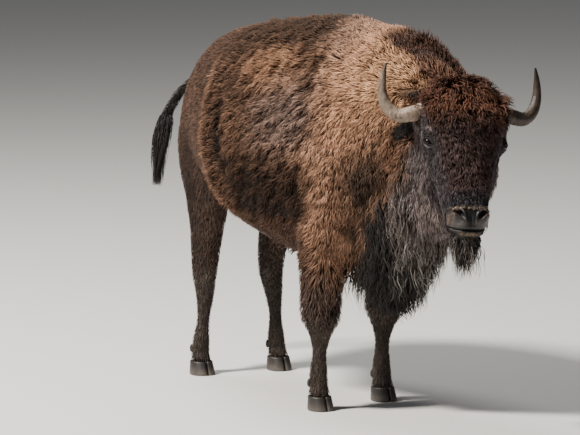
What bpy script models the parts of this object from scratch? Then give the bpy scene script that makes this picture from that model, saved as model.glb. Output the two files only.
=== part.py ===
"""A life-size still model of an American bison cow, standing, head turned to its right.

+X is forward, +Y is the animal's left, +Z is up, in metres. The flesh is modelled whole,
out to the tips of the coat, from lofts through named stations that are fused and
smoothed, and is then parted with thin cuts into the nodes that a person would name.
Horns, ears, eyes, tail, beard, lower legs and claws are closed lofts of their own.
"""
import math

import bmesh
import bpy
import numpy as np
from mathutils import Matrix, Vector

# ---------------------------------------------------------------- driving dimensions
GAP = 0.0004                 # between two pieces that touch
BODY_VOXEL = 0.016           # grid on which the body's lofts are fused
HEAD_VOXEL = 0.008
BODY_TRIANGLES = 2350
HEAD_TRIANGLES = 1500
BODY_SMOOTHING = 14          # passes that round the joints between lofts
HEAD_SMOOTHING = 6

SHARP_ANGLE = math.radians(50)
LEG_TOP_FORE = 0.56          # where the forelegs are parted from the shoulders
LEG_TOP_HIND = 0.70
KNEE_CUT = 0.335             # where each leg is parted from its cannon
HOOF_HEIGHT = 0.056
RUMP_CUT = -0.36             # along X, between rump and trunk
SHOULDER_CUT = 0.14
NECK_CUT = 0.66
MANE_CUT = (0.585, 0.74)     # the hanging mane is ahead of this X and below this Z

# Trunk stations, rear to front.
# name: (x, y, top z, bottom z, widest z, half width, roundness above, below)
TRUNK = {
    "buttock": (-0.862, 0.000, 1.130, 1.000, 1.060, 0.060, 2.0, 2.0),
    "pins": (-0.815, 0.000, 1.225, 0.900, 1.040, 0.140, 2.0, 2.0),
    "croup": (-0.695, 0.000, 1.360, 0.810, 1.050, 0.212, 2.1, 2.0),
    "hooks": (-0.510, 0.000, 1.445, 0.750, 1.050, 0.270, 2.3, 2.1),
    "loin": (-0.290, 0.000, 1.490, 0.700, 1.010, 0.340, 2.1, 2.2),
    "barrel": (-0.080, 0.000, 1.522, 0.640, 0.960, 0.385, 2.0, 2.2),
    "girth": (0.150, 0.010, 1.548, 0.580, 0.960, 0.368, 2.0, 2.1),
    "hump": (0.370, 0.030, 1.568, 0.560, 0.990, 0.338, 1.9, 2.0),
    "withers": (0.550, 0.080, 1.556, 0.580, 1.020, 0.310, 1.85, 1.9),
    "breast": (0.700, 0.120, 1.534, 0.640, 1.050, 0.262, 1.9, 1.9),
    "crest": (0.840, 0.150, 1.486, 0.740, 1.090, 0.205, 2.0, 1.9),
    "nape": (0.945, 0.160, 1.400, 0.860, 1.110, 0.150, 2.0, 1.9),
}

# Neck stations along its own line: (x, y, z, up, down, half width)
NECK = {
    "shoulder": (0.420, 0.030, 1.080, 0.440, 0.440, 0.290),
    "mid": (0.640, 0.100, 1.110, 0.380, 0.420, 0.262),
    "nape": (0.820, 0.138, 1.120, 0.290, 0.370, 0.190),
    "poll": (0.940, 0.150, 1.120, 0.150, 0.280, 0.125),
}

# The hanging throat mane, from chest to chin, as the trunk's stations are given.
MANE = {
    "chest": (0.520, 0.030, 0.880, 0.560, 0.700, 0.100, 2.0, 2.0),
    "brisket": (0.590, 0.045, 0.940, 0.430, 0.720, 0.150, 2.0, 1.8),
    "fringe": (0.670, 0.065, 1.000, 0.400, 0.760, 0.162, 2.0, 1.8),
    "throat": (0.760, 0.085, 1.040, 0.510, 0.800, 0.150, 2.0, 1.8),
    "gullet": (0.860, 0.105, 1.060, 0.670, 0.860, 0.125, 2.0, 1.8),
    "chin": (0.980, 0.125, 1.020, 0.760, 0.880, 0.080, 2.0, 1.8),
}

# Head stations from the crown down to the chin, in the head's own frame:
# name: (along, front, back, half width, roundness)
HEAD = {
    "mop_top": (-0.085, 0.040, 0.050, 0.055, 2.0),
    "crown": (-0.052, 0.120, 0.120, 0.130, 2.1),
    "horns": (0.055, 0.165, 0.160, 0.180, 2.2),
    "brow": (0.125, 0.162, 0.170, 0.172, 2.3),
    "eyes": (0.190, 0.142, 0.180, 0.160, 2.3),
    "cheeks": (0.280, 0.120, 0.170, 0.124, 2.3),
    "bridge": (0.370, 0.102, 0.135, 0.099, 2.4),
    "muzzle": (0.440, 0.096, 0.105, 0.086, 2.5),
    "nose": (0.500, 0.088, 0.085, 0.085, 2.6),
    "lips": (0.550, 0.062, 0.080, 0.074, 2.4),
    "chin": (0.592, 0.024, 0.060, 0.046, 2.2),
}
HEAD_PLACE = (0.970, 0.160, 1.277)       # on the head's axis, where `along` is zero
HEAD_YAW = math.radians(-16.5)
HEAD_PITCH = math.radians(23.0)          # muzzle forward of the vertical
HEAD_ROLL = math.radians(-3)
HEAD_STRETCH = 1.035                     # along the face
HEAD_BACK = -0.160                       # the cut behind the head, in its own frame
MUZZLE_CUT = 0.430                       # the cut above the muzzle, in the head's frame
MUZZLE_BACK = -0.115                     # and the cut behind it
MOUTH_FRONT = (0.070, 0.530)             # front, along: where the lips meet
MOUTH_SLOPE = math.radians(24)
MOUTH_GAP = 0.0012

# Rounded masses on the head: centre (front, side, along) and radii in the same order.
# The first has no twin; the others are made on both sides.
JOWLS = ((-0.120, 0.000, 0.240), (0.110, 0.172, 0.175))
BROW_RIDGE = ((0.060, 0.122, 0.158), (0.046, 0.034, 0.026))
CHEEKBONE = ((0.030, 0.104, 0.245), (0.060, 0.034, 0.040))
NOSTRIL_WING = ((0.068, 0.050, 0.478), (0.034, 0.030, 0.030))
NOSTRIL = ((0.104, 0.049, 0.487), (0.024, 0.013, 0.010))

EYE_PLACE = (0.048, 0.1460, 0.192)       # front, side, along
EYE_RADIUS = 0.0190

# Horn centre line from the skull to the tip: (front, side, along, radius)
HORN = (
    (0.005, 0.150, 0.058, 0.031),
    (0.008, 0.200, 0.072, 0.030),
    (-0.008, 0.248, 0.074, 0.0270),
    (-0.018, 0.287, 0.042, 0.0235),
    (-0.018, 0.307, -0.010, 0.0190),
    (0.000, 0.307, -0.068, 0.0130),
    (0.022, 0.298, -0.120, 0.0035),
)

# Each ear from its root to its tip: (front, side, along, half width, half thickness).
# The right one stands out beside the horn, the left one is laid back.
EARS = {
    "right": (
        (-0.070, 0.125, 0.105, 0.020, 0.016),
        (-0.085, 0.160, 0.112, 0.030, 0.015),
        (-0.095, 0.190, 0.125, 0.036, 0.012),
        (-0.101, 0.212, 0.140, 0.030, 0.009),
        (-0.106, 0.230, 0.154, 0.010, 0.005),
    ),
    "left": (
        (-0.070, 0.125, 0.105, 0.020, 0.016),
        (-0.100, 0.152, 0.115, 0.030, 0.015),
        (-0.130, 0.172, 0.130, 0.036, 0.012),
        (-0.158, 0.182, 0.146, 0.030, 0.009),
        (-0.182, 0.188, 0.162, 0.010, 0.005),
    ),
}

# Beard from the chin down, in the head's frame: (front, along, half width, half depth)
BEARD = (
    (-0.020, 0.572, 0.066, 0.050),
    (-0.045, 0.615, 0.076, 0.058),
    (-0.078, 0.665, 0.064, 0.050),
    (-0.108, 0.712, 0.042, 0.034),
    (-0.130, 0.748, 0.014, 0.012),
)
# Leg stations, top to bottom: (x, z, half length, half width, y)
FORELEG = {
    "blade": (0.500, 1.240, 0.060, 0.035, 0.175),
    "shoulder": (0.480, 1.020, 0.150, 0.090, 0.165),
    "arm": (0.470, 0.860, 0.150, 0.100, 0.165),
    "elbow": (0.455, 0.720, 0.126, 0.098, 0.166),
    "forearm": (0.445, 0.580, 0.106, 0.090, 0.167),
    "chaps": (0.440, 0.460, 0.094, 0.082, 0.167),
    "knee": (0.438, 0.370, 0.078, 0.070, 0.167),
    "fringe": (0.434, 0.305, 0.050, 0.047, 0.167),
    "cannon": (0.426, 0.230, 0.032, 0.030, 0.167),
    "fetlock": (0.418, 0.130, 0.042, 0.039, 0.168),
    "pastern": (0.424, 0.085, 0.040, 0.041, 0.168),
    "coronet": (0.430, 0.050, 0.047, 0.046, 0.168),
}
HINDLEG = {
    "croup": (-0.580, 1.240, 0.090, 0.045, 0.130),
    "hip": (-0.580, 1.060, 0.180, 0.100, 0.140),
    "thigh": (-0.594, 0.900, 0.184, 0.090, 0.150),
    "stifle": (-0.566, 0.760, 0.140, 0.081, 0.156),
    "gaskin": (-0.578, 0.610, 0.094, 0.064, 0.154),
    "hock": (-0.616, 0.440, 0.068, 0.050, 0.146),
    "shank": (-0.606, 0.330, 0.046, 0.038, 0.150),
    "cannon": (-0.604, 0.230, 0.031, 0.028, 0.158),
    "fetlock": (-0.614, 0.130, 0.041, 0.038, 0.166),
    "pastern": (-0.608, 0.085, 0.039, 0.039, 0.169),
    "coronet": (-0.600, 0.050, 0.046, 0.044, 0.170),
}
LEFT_FORE_SHIFT = -0.090                 # the left forefoot is set back, the left hind forward
LEFT_HIND_SHIFT = 0.040
SHIFT_FROM = 1.00                        # a shifted leg leans from this height down

CLAW = (0.105, 0.048, 0.0035)            # length, width, half the cleft between two
DEWCLAW = (0.016, 0.012, 0.020)          # radii: back, across, up
DEWCLAW_PLACE = (-0.046, 0.023, 0.102)   # behind the leg's line, beside it, height

# Tail centre line, the dock and then the tuft of hair: (x, y, z, radius)
DOCK = (
    (-0.790, 0.000, 1.225, 0.031),
    (-0.870, -0.018, 1.215, 0.027),
    (-0.930, -0.070, 1.165, 0.025),
    (-0.962, -0.116, 1.095, 0.026),
    (-0.975, -0.143, 1.025, 0.029),
)
TUFT = (
    (-0.976, -0.145, 1.018, 0.030),
    (-0.983, -0.159, 0.950, 0.036),
    (-0.986, -0.168, 0.880, 0.034),
    (-0.987, -0.173, 0.810, 0.024),
    (-0.987, -0.176, 0.745, 0.005),
)

# name: (colour, roughness)
COATS = {
    "rump": ((0.105, 0.066, 0.044), 0.85),
    "trunk": ((0.125, 0.072, 0.042), 0.85),
    "shoulders": ((0.235, 0.140, 0.075), 0.85),
    "neck": ((0.190, 0.110, 0.062), 0.85),
    "head": ((0.045, 0.026, 0.019), 0.85),
    "muzzle": ((0.020, 0.017, 0.017), 0.55),
    "lower_jaw": ((0.050, 0.042, 0.038), 0.75),
    "mane": ((0.060, 0.045, 0.038), 0.88),
    "beard": ((0.030, 0.023, 0.020), 0.88),
    "tail": ((0.018, 0.014, 0.013), 0.80),
    "leg": ((0.085, 0.048, 0.030), 0.85),
    "cannon": ((0.040, 0.026, 0.020), 0.80),
    "claw": ((0.022, 0.020, 0.019), 0.50),
    "horn": ((0.120, 0.105, 0.090), 0.42),
    "ear": ((0.030, 0.021, 0.018), 0.85),
    "eye": ((0.008, 0.006, 0.005), 0.08),
}


# ------------------------------------------------------------------ loft helpers
def curve_through(rows, count):
    """Points on a Catmull-Rom curve through the rows, evenly spaced in its parameter."""
    rows = np.asarray(rows, float)
    first, last = 2 * rows[0] - rows[1], 2 * rows[-1] - rows[-2]
    padded = np.vstack([first, rows, last])
    t = np.linspace(0, len(rows) - 1, count)
    i = np.minimum(t.astype(int), len(rows) - 2)
    u = (t - i)[:, None]
    p0, p1, p2, p3 = (padded[i + k] for k in range(4))
    return 0.5 * (
        2 * p1 + (p2 - p0) * u
        + (2 * p0 - 5 * p1 + 4 * p2 - p3) * u**2
        + (3 * p1 - p0 - 3 * p2 + p3) * u**3
    )


def ring(centre, side, up, half_width, above, below, power_above, power_below, sides):
    """A closed superellipse about centre, in the side/up plane."""
    turn = np.linspace(0, 2 * math.pi, sides, endpoint=False)
    c, s = np.cos(turn), np.sin(turn)
    power = np.where(s >= 0, power_above, power_below)
    across = half_width * np.sign(c) * np.abs(c) ** (2 / power)
    height = np.where(s >= 0, above, below) * np.sign(s) * np.abs(s) ** (2 / power)
    return np.asarray(centre) + np.outer(across, side) + np.outer(height, up)


def add_mesh(name, points, faces):
    """An object holding one closed mesh with its faces turned outwards."""
    mesh = bpy.data.meshes.new(name)
    mesh.from_pydata([tuple(p) for p in points], [], faces)
    work = bmesh.new()
    work.from_mesh(mesh)
    bmesh.ops.recalc_face_normals(work, faces=work.faces)
    bmesh.ops.triangulate(work, faces=work.faces)
    work.to_mesh(mesh)
    work.free()
    body = bpy.data.objects.new(name, mesh)
    bpy.context.scene.collection.objects.link(body)
    return body


def tube(name, rings):
    """A closed mesh through the rings, with a point at each end's middle."""
    rings = [np.asarray(r) for r in rings]
    sides = len(rings[0])
    points = np.vstack(rings + [rings[0].mean(0)[None], rings[-1].mean(0)[None]])
    faces = []
    for i in range(len(rings) - 1):
        for j in range(sides):
            k = (j + 1) % sides
            faces.append((i * sides + j, i * sides + k, (i + 1) * sides + k, (i + 1) * sides + j))
    start, end = len(points) - 2, len(points) - 1
    last = (len(rings) - 1) * sides
    for j in range(sides):
        k = (j + 1) % sides
        faces.append((start, k, j))
        faces.append((end, last + j, last + k))
    return add_mesh(name, points, faces)


def hose(name, rows, sides, count, extra=0.0):
    """A round tapered tube along the rows (x, y, z, radius), grown by extra for a socket."""
    rows = curve_through(rows, count)
    rows[:, 3] += extra
    centres = rows[:, :3]
    along = np.gradient(centres, axis=0)
    along /= np.linalg.norm(along, axis=1)[:, None]
    side = np.cross(along[0], (0.0, 0.0, 1.0))
    side = side if np.linalg.norm(side) > 0.2 else np.cross(along[0], (0.0, 1.0, 0.0))
    rings = []
    for row, direction in zip(rows, along):
        side = side - direction * np.dot(side, direction)
        side /= np.linalg.norm(side)
        up = np.cross(direction, side)
        rings.append(ring(row[:3], side, up, row[3], row[3], row[3], 2, 2, sides))
    rings[0] = rings[0] - extra * along[0]
    return tube(name, rings)


def blob(name, centre, radii, rings=10, sides=16):
    """An ellipsoid with its axes along X, Y and Z."""
    work = bmesh.new()
    bmesh.ops.create_uvsphere(work, u_segments=sides, v_segments=rings, radius=1)
    mesh = bpy.data.meshes.new(name)
    work.to_mesh(mesh)
    work.free()
    body = bpy.data.objects.new(name, mesh)
    bpy.context.scene.collection.objects.link(body)
    mesh.transform(Matrix.Translation(centre) @ Matrix.Diagonal((*radii, 1)))
    return body


# ------------------------------------------------------------------ body lofts
def lengthwise(name, stations, count, sides):
    """A loft through upright stations given as in TRUNK."""
    rings = []
    for x, y, top, bottom, wide, half, above, below in curve_through(list(stations.values()), count):
        rings.append(ring((x, y, wide), (0, 1, 0), (0, 0, 1), half, top - wide,
                          wide - bottom, above, below, sides))
    return tube(name, rings)


def neck():
    rows = curve_through(list(NECK.values()), 16)
    along = np.gradient(rows[:, :3], axis=0)
    along /= np.linalg.norm(along, axis=1)[:, None]
    rings = []
    for row, direction in zip(rows, along):
        side = np.cross((0, 0, 1), direction)
        side /= np.linalg.norm(side)
        up = np.cross(direction, side)
        rings.append(ring(row[:3], side, up, row[5], row[3], row[4], 1.9, 1.9, 36))
    return tube("neck_loft", rings)


def leg_rings(stations, side, shift, top, bottom, count, sides):
    """Level rings down one leg between two heights; a shifted leg leans below SHIFT_FROM."""
    rows = curve_through(list(stations.values()), 240)
    heights = np.linspace(top, bottom, count)
    order = np.argsort(rows[:, 1])
    x, long, half, y = (np.interp(heights, rows[order, 1], rows[order, k]) for k in (0, 2, 3, 4))
    x = x + shift * np.clip((SHIFT_FROM - heights) / (SHIFT_FROM - 0.3), 0, 1)
    return [
        ring((x[i], side * y[i], heights[i]), (0, 1, 0), (1, 0, 0), half[i], long[i], long[i],
             2.1, 2.1, sides)
        for i in range(count)
    ]


# ------------------------------------------------------------------ head frame
def head_frame():
    """World matrix of the head: x forward out of the face, y its left, z up the face."""
    turn = Matrix.Rotation(HEAD_YAW, 4, "Z") @ Matrix.Rotation(HEAD_ROLL, 4, "X")
    lean = Matrix.Rotation(-HEAD_PITCH, 4, "Y") @ Matrix.Diagonal((1, 1, HEAD_STRETCH, 1))
    return Matrix.Translation(HEAD_PLACE) @ turn @ lean


def on_head(front, side, along):
    return tuple(head_frame() @ Vector((front, side, -along)))


def head_loft():
    rings = []
    for along, front, back, half, power in curve_through(list(HEAD.values()), 40):
        rings.append(ring((0, 0, -along), (0, 1, 0), (1, 0, 0), half, front, back, power, power, 36))
    made = tube("head_loft", rings)
    made.data.transform(head_frame())
    return made


def head_blob(name, centre, radii, side=1):
    front, across, along = centre
    made = blob(name, (front, side * across, -along), radii)
    made.data.transform(head_frame())
    return made


# ------------------------------------------------------------------ fusing and cutting
def evaluated(body, name):
    """A new object holding the body as its modifiers leave it; the old one is removed."""
    graph = bpy.context.evaluated_depsgraph_get()
    mesh = bpy.data.meshes.new_from_object(body.evaluated_get(graph))
    bpy.data.objects.remove(body)
    made = bpy.data.objects.new(name, mesh)
    bpy.context.scene.collection.objects.link(made)
    return made


def fuse(name, bodies, voxel, smoothing, triangles):
    """One closed skin round all the bodies, smoothed, then thinned to about that many faces."""
    work = bmesh.new()
    for body in bodies:
        work.from_mesh(body.data)
        bpy.data.objects.remove(body)
    mesh = bpy.data.meshes.new(name)
    work.to_mesh(mesh)
    work.free()
    whole = bpy.data.objects.new(name, mesh)
    bpy.context.scene.collection.objects.link(whole)
    remesh = whole.modifiers.new("fuse", "REMESH")
    remesh.mode = "VOXEL"
    remesh.voxel_size = voxel
    smooth = whole.modifiers.new("round", "SMOOTH")
    smooth.factor = 0.5
    smooth.iterations = smoothing
    whole = evaluated(whole, name)
    whole.data.calc_loop_triangles()
    thin = whole.modifiers.new("thin", "DECIMATE")
    thin.ratio = triangles / len(whole.data.loop_triangles)
    thin.use_collapse_triangulate = True
    return evaluated(whole, name)


def box(name, low, high, frame=None, grow=0.0):
    """A cutter between two corners, in the given frame."""
    low, high = np.array(low, float) - grow, np.array(high, float) + grow
    corners = [(x, y, z) for x in (low[0], high[0]) for y in (low[1], high[1]) for z in (low[2], high[2])]
    faces = [(0, 1, 3, 2), (4, 6, 7, 5), (0, 4, 5, 1), (2, 3, 7, 6), (0, 2, 6, 4), (1, 5, 7, 3)]
    made = add_mesh(name, corners, faces)
    if frame is not None:
        made.data.transform(frame)
    return made


def largest_piece(body):
    """Drops the crumbs that a cut can leave beside the piece itself."""
    work = bmesh.new()
    work.from_mesh(body.data)
    left, pieces = set(work.verts), []
    while left:
        piece, border = set(), [left.pop()]
        while border:
            vert = border.pop()
            piece.add(vert)
            for edge in vert.link_edges:
                other = edge.other_vert(vert)
                if other in left:
                    left.remove(other)
                    border.append(other)
        pieces.append(piece)
    pieces.sort(key=len, reverse=True)
    crumbs = [vert for piece in pieces[1:] for vert in piece]
    bmesh.ops.delete(work, geom=crumbs, context="VERTS")
    work.to_mesh(body.data)
    work.free()


def boolean(body, cutter, operation, name):
    """A new object: the body cut or clipped by the cutter, which is then removed."""
    made = bpy.data.objects.new(name, body.data.copy())
    bpy.context.scene.collection.objects.link(made)
    cut = made.modifiers.new("cut", "BOOLEAN")
    cut.operation = operation
    cut.solver = "EXACT"
    cut.object = cutter
    made = evaluated(made, name)
    bpy.data.objects.remove(cutter)
    largest_piece(made)
    return made


def part_off(body, name, low, high, frame=None, gap=GAP):
    """Cuts what lies between two corners off the body. Returns the piece and the rest."""
    whole = body.name
    piece = boolean(body, box("cell", low, high, frame), "INTERSECT", "piece")
    rest = boolean(body, box("cell", low, high, frame, gap), "DIFFERENCE", "rest")
    bpy.data.objects.remove(body)
    piece.name, rest.name = name, whole
    return piece, rest


def hollow(body, cutter):
    """The body with the cutter's shape taken out."""
    name = body.name
    made = boolean(body, cutter, "DIFFERENCE", "hollowed")
    bpy.data.objects.remove(body)
    made.name = name
    return made


# ------------------------------------------------------------------ separate pieces
def horn(name, side, extra=0.0):
    return hose(name, [(*on_head(f, side * s, a), r) for f, s, a, r in HORN], 10, 11, extra)


def ear(name, side, extra=0.0):
    """A cupped leaf: each ring is a flat oval whose front is pressed in."""
    rows = EARS["left" if side > 0 else "right"]
    rows = curve_through([(*on_head(f, side * s, a), w, t) for f, s, a, w, t in rows], 7)
    along = np.gradient(rows[:, :3], axis=0)
    along /= np.linalg.norm(along, axis=1)[:, None]
    face = np.array(head_frame().to_3x3() @ Vector((0.85, side * 0.5, -0.15)))
    turn = np.linspace(0, 2 * math.pi, 10, endpoint=False)
    rings = []
    for row, direction in zip(rows, along):
        out = face - direction * np.dot(face, direction)
        out /= np.linalg.norm(out)
        across = np.cross(direction, out)
        flat = (row[3] + extra) * np.cos(turn)
        depth = (row[4] + extra) * np.sin(turn)
        cup = 0.45 * row[4] * np.cos(turn) ** 2
        rings.append(row[:3] + np.outer(flat, across) + np.outer(depth + cup, out))
    rings[0] = rings[0] - extra * along[0]
    return tube(name, rings)


def eye(name, side, extra=0.0):
    front, across, along = EYE_PLACE
    radius = EYE_RADIUS + extra
    made = blob(name, (front, side * across, -along), (radius,) * 3, 8, 12)
    made.data.transform(head_frame())
    return made


def beard(extra=0.0):
    frame = head_frame().to_3x3()
    side, out = np.array(frame.col[1]), np.array(frame.col[0])
    rings = []
    for front, along, half, depth in curve_through(BEARD, 8):
        rings.append(ring(on_head(front, 0, along), side, out, half + extra, depth + extra,
                          depth + extra, 2, 2, 12))
    rings[0] = rings[0] + extra * np.array(frame.col[2])
    return tube("beard", rings)


def claw(name, x, y, side):
    """Half a cloven hoof: flat sole, straight inner wall, outer wall bowed, toe to the front."""
    length, width, cleft = CLAW
    turn = np.linspace(0, math.pi, 9)
    rings = []
    for height, grow, back in ((0.0, 1.0, 0.0), (0.5, 0.95, -0.006), (1.0, 0.84, -0.014)):
        bow = np.sin(turn) ** 0.75
        along = np.cos(turn) * length / 2 * grow
        across = cleft + width * grow * bow
        inner_x = np.linspace(along[-1], along[0], 5)[1:-1]
        points_x = np.concatenate([along, inner_x]) + back + 0.012
        points_y = np.concatenate([across, np.full(3, cleft)])
        z = height * (HOOF_HEIGHT - GAP)
        rings.append(np.column_stack([x + points_x, y + side * points_y, np.full(12, z)]))
    return tube(name, rings)


# ------------------------------------------------------------------ assembly
def build_body():
    """Rump, trunk, shoulders, neck and throat mane, parted from one fused shape."""
    bodies = [lengthwise("trunk_loft", TRUNK, 40, 40), neck(), head_loft(),
              head_blob("jowls", *JOWLS), lengthwise("mane_loft", MANE, 24, 24)]
    for side in (1, -1):
        fore = LEFT_FORE_SHIFT if side > 0 else 0
        hind = LEFT_HIND_SHIFT if side > 0 else 0
        bodies.append(tube("fore_loft", leg_rings(FORELEG, side, fore, 1.24, 0.46, 26, 24)))
        bodies.append(tube("hind_loft", leg_rings(HINDLEG, side, hind, 1.24, 0.60, 24, 24)))
    flesh = fuse("flesh", bodies, BODY_VOXEL, BODY_SMOOTHING, BODY_TRIANGLES)
    flesh = hollow(flesh, box("head_cell", (HEAD_BACK, -1, -1), (1, 1, 1), head_frame()))
    for side in (1, -1):
        low_y, high_y = (0.0, 0.6) if side > 0 else (-0.6, 0.0)
        flesh = hollow(flesh, box("fore_cell", (0.05, low_y, 0.2), (MANE_CUT[0], high_y, LEG_TOP_FORE)))
        flesh = hollow(flesh, box("hind_cell", (-0.95, low_y, 0.2), (-0.25, high_y, LEG_TOP_HIND)))
    mane, flesh = part_off(flesh, "throat_mane", (MANE_CUT[0], -0.6, 0.1), (1.4, 0.7, MANE_CUT[1]))
    rump, flesh = part_off(flesh, "rump", (-1.2, -0.7, 0.1), (RUMP_CUT, 0.7, 2.0))
    trunk, flesh = part_off(flesh, "trunk", (RUMP_CUT + GAP, -0.7, 0.1), (SHOULDER_CUT, 0.7, 2.0))
    neck_piece, flesh = part_off(flesh, "neck", (NECK_CUT, -0.7, 0.1), (1.5, 0.9, 2.0))
    flesh.name = "shoulders"
    return rump, trunk, flesh, neck_piece, mane


def build_head():
    """Head, muzzle and lower jaw, with sockets for the eyes, horns and ears."""
    bodies = [head_loft(), neck(), head_blob("jowls", *JOWLS), lengthwise("mane_loft", MANE, 24, 24)]
    for side in (1, -1):
        for name, (centre, radii) in (("brow_ridge", BROW_RIDGE), ("cheekbone", CHEEKBONE),
                                      ("nostril_wing", NOSTRIL_WING)):
            bodies.append(head_blob(name, centre, radii, side))
    flesh = fuse("flesh", bodies, HEAD_VOXEL, HEAD_SMOOTHING, HEAD_TRIANGLES)
    frame = head_frame()
    whole = boolean(flesh, box("cell", (HEAD_BACK + GAP, -1, -1), (1, 1, 1), frame), "INTERSECT", "head")
    bpy.data.objects.remove(flesh)
    muzzle, head = part_off(whole, "muzzle", (MUZZLE_BACK, -0.5, -1.0), (0.5, 0.5, -MUZZLE_CUT), frame)
    front, along = MOUTH_FRONT
    mouth = frame @ Matrix.Translation((front, 0, -along)) @ Matrix.Rotation(MOUTH_SLOPE, 4, "Y")
    jaw, muzzle = part_off(muzzle, "lower_jaw", (-0.5, -0.5, -0.5), (0.5, 0.5, 0), mouth, MOUTH_GAP)
    for side in (1, -1):
        muzzle = hollow(muzzle, head_blob("nostril", *NOSTRIL, side))
        head = hollow(head, eye("socket", side, GAP))
        head = hollow(head, horn("socket", side, GAP))
        head = hollow(head, ear("socket", side, GAP))
    return head, muzzle, jaw


def build_legs():
    made = []
    for side, word in ((1, "left"), (-1, "right")):
        for pair, stations, top, moved in (
            ("fore", FORELEG, LEG_TOP_FORE, LEFT_FORE_SHIFT),
            ("hind", HINDLEG, LEG_TOP_HIND, LEFT_HIND_SHIFT),
        ):
            shift = moved if side > 0 else 0
            upper = leg_rings(stations, side, shift, top - GAP, KNEE_CUT, 6, 18)
            made.append((tube(f"{pair}leg_{word}", upper), "leg"))
            lower = tube(f"{pair}_cannon_{word}",
                         leg_rings(stations, side, shift, KNEE_CUT - GAP, HOOF_HEIGHT, 8, 12))
            foot = leg_rings(stations, side, shift, 0.11, 0.10, 2, 8)[0].mean(0)
            for place in (1, -1):
                back, beside, height = DEWCLAW_PLACE
                centre = (foot[0] + back, foot[1] + place * beside, height)
                where = "outer" if place == side else "inner"
                socket = blob("socket", centre, [r + GAP for r in DEWCLAW], 5, 7)
                lower = hollow(lower, socket)
                made.append((blob(f"{pair}_dewclaw_{word}_{where}", centre, DEWCLAW, 5, 7), "claw"))
                sole = stations["coronet"]
                made.append((claw(f"{pair}_claw_{word}_{where}", sole[0] + shift, side * sole[4], place),
                             "claw"))
            made.append((lower, "cannon"))
    return made


def coat(key):
    colour, roughness = COATS[key]
    made = bpy.data.materials.get(key) or bpy.data.materials.new(key)
    made.use_nodes = True
    shader = made.node_tree.nodes["Principled BSDF"]
    shader.inputs["Base Color"].default_value = (*colour, 1)
    shader.inputs["Roughness"].default_value = roughness
    return made


def stand_centred(bodies):
    """Moves all the meshes so that the whole stands at Z 0 with its box centred on X and Y."""
    low, high = np.full(3, np.inf), np.full(3, -np.inf)
    for body in bodies:
        points = np.array([v.co for v in body.data.vertices])
        low, high = np.minimum(low, points.min(0)), np.maximum(high, points.max(0))
    shift = Matrix.Translation((-(low[0] + high[0]) / 2, -(low[1] + high[1]) / 2, -low[2]))
    for body in bodies:
        body.data.transform(shift)
    print("moved by", [round(v, 5) for v in shift.translation])


def main():
    for item in list(bpy.data.objects):
        bpy.data.objects.remove(item)
    rump, trunk, shoulders, neck_piece, mane = build_body()
    head, muzzle, jaw = build_head()
    rump = hollow(rump, hose("socket", DOCK, 8, 8, GAP))
    dock = hose("tail", DOCK, 8, 8)
    tuft = hose("tail_tuft", TUFT, 9, 8)
    jaw = hollow(jaw, beard(GAP))
    head = hollow(head, beard(GAP))
    chin_hair = beard()
    parts = [(rump, "rump"), (trunk, "trunk"), (shoulders, "shoulders"), (neck_piece, "neck"),
             (head, "head"), (muzzle, "muzzle"), (jaw, "lower_jaw"), (mane, "mane"),
             (chin_hair, "beard"), (dock, "tail"), (tuft, "tail")]
    for side, word in ((1, "left"), (-1, "right")):
        parts.append((horn(f"horn_{word}", side), "horn"))
        parts.append((ear(f"ear_{word}", side), "ear"))
        parts.append((eye(f"eye_{word}", side), "eye"))
    parts += build_legs()
    for body, key in parts:
        body.data.materials.clear()
        body.data.materials.append(coat(key))
        body.data.shade_smooth()
        body.data.set_sharp_from_angle(angle=SHARP_ANGLE)
    stand_centred([body for body, _ in parts])


main()
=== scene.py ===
"""The looks of a life-size American bison cow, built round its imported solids.

One skin is laid inside the flesh nodes by the depth of the coat. Tufts and locks of hair
grow from it along the lie of the coat, out to the solids' outline. Horns, eyes, claws,
beard and tail hair are pieces of their own. Every shape is a function evaluated on whole
arrays, and every length is in metres.
"""
import functools
import math

import bmesh
import bpy
import numpy as np
from mathutils import Matrix, Vector


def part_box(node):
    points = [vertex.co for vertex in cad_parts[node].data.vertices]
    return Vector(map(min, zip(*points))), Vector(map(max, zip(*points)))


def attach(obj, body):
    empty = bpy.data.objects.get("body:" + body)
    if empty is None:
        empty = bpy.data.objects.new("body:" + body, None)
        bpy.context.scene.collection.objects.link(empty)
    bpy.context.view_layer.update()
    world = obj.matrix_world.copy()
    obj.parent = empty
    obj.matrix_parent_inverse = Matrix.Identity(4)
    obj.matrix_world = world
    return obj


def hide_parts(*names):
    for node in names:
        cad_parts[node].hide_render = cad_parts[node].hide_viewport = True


bl_info = {
    "name": "Bison Cow Looks",
    "version": (1, 0, 0),
    "blender": (4, 5, 0),
    "location": "View3D > Sidebar > Bison",
    "description": "Skin, coat, horns, eyes, hooves and stage for a bison cow",
    "category": "Object",
}

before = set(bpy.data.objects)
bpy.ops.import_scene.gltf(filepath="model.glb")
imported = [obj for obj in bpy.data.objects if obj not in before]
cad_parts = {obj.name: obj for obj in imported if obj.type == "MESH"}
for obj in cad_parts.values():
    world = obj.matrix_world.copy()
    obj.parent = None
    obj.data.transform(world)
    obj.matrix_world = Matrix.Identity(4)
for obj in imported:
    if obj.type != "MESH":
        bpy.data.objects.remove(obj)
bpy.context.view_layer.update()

# ---- the animal's own frame
HEAD_PLACE = Vector((0.970, 0.160, 1.277))    # on the head's axis, where `along` is zero
HEAD_YAW = math.radians(-16.5)
HEAD_PITCH = math.radians(23.0)
HEAD_ROLL = math.radians(-3.0)
HEAD_STRETCH = 1.035
SIDES = {"left": 1, "right": -1}              # the sign of each side's distance from the middle
EYE_PLACE = (0.048, 0.1460, 0.192)            # front, side, along
EYE_RADIUS = 0.0190
EYE_DARK = (0.004, 0.003, 0.003)
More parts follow.
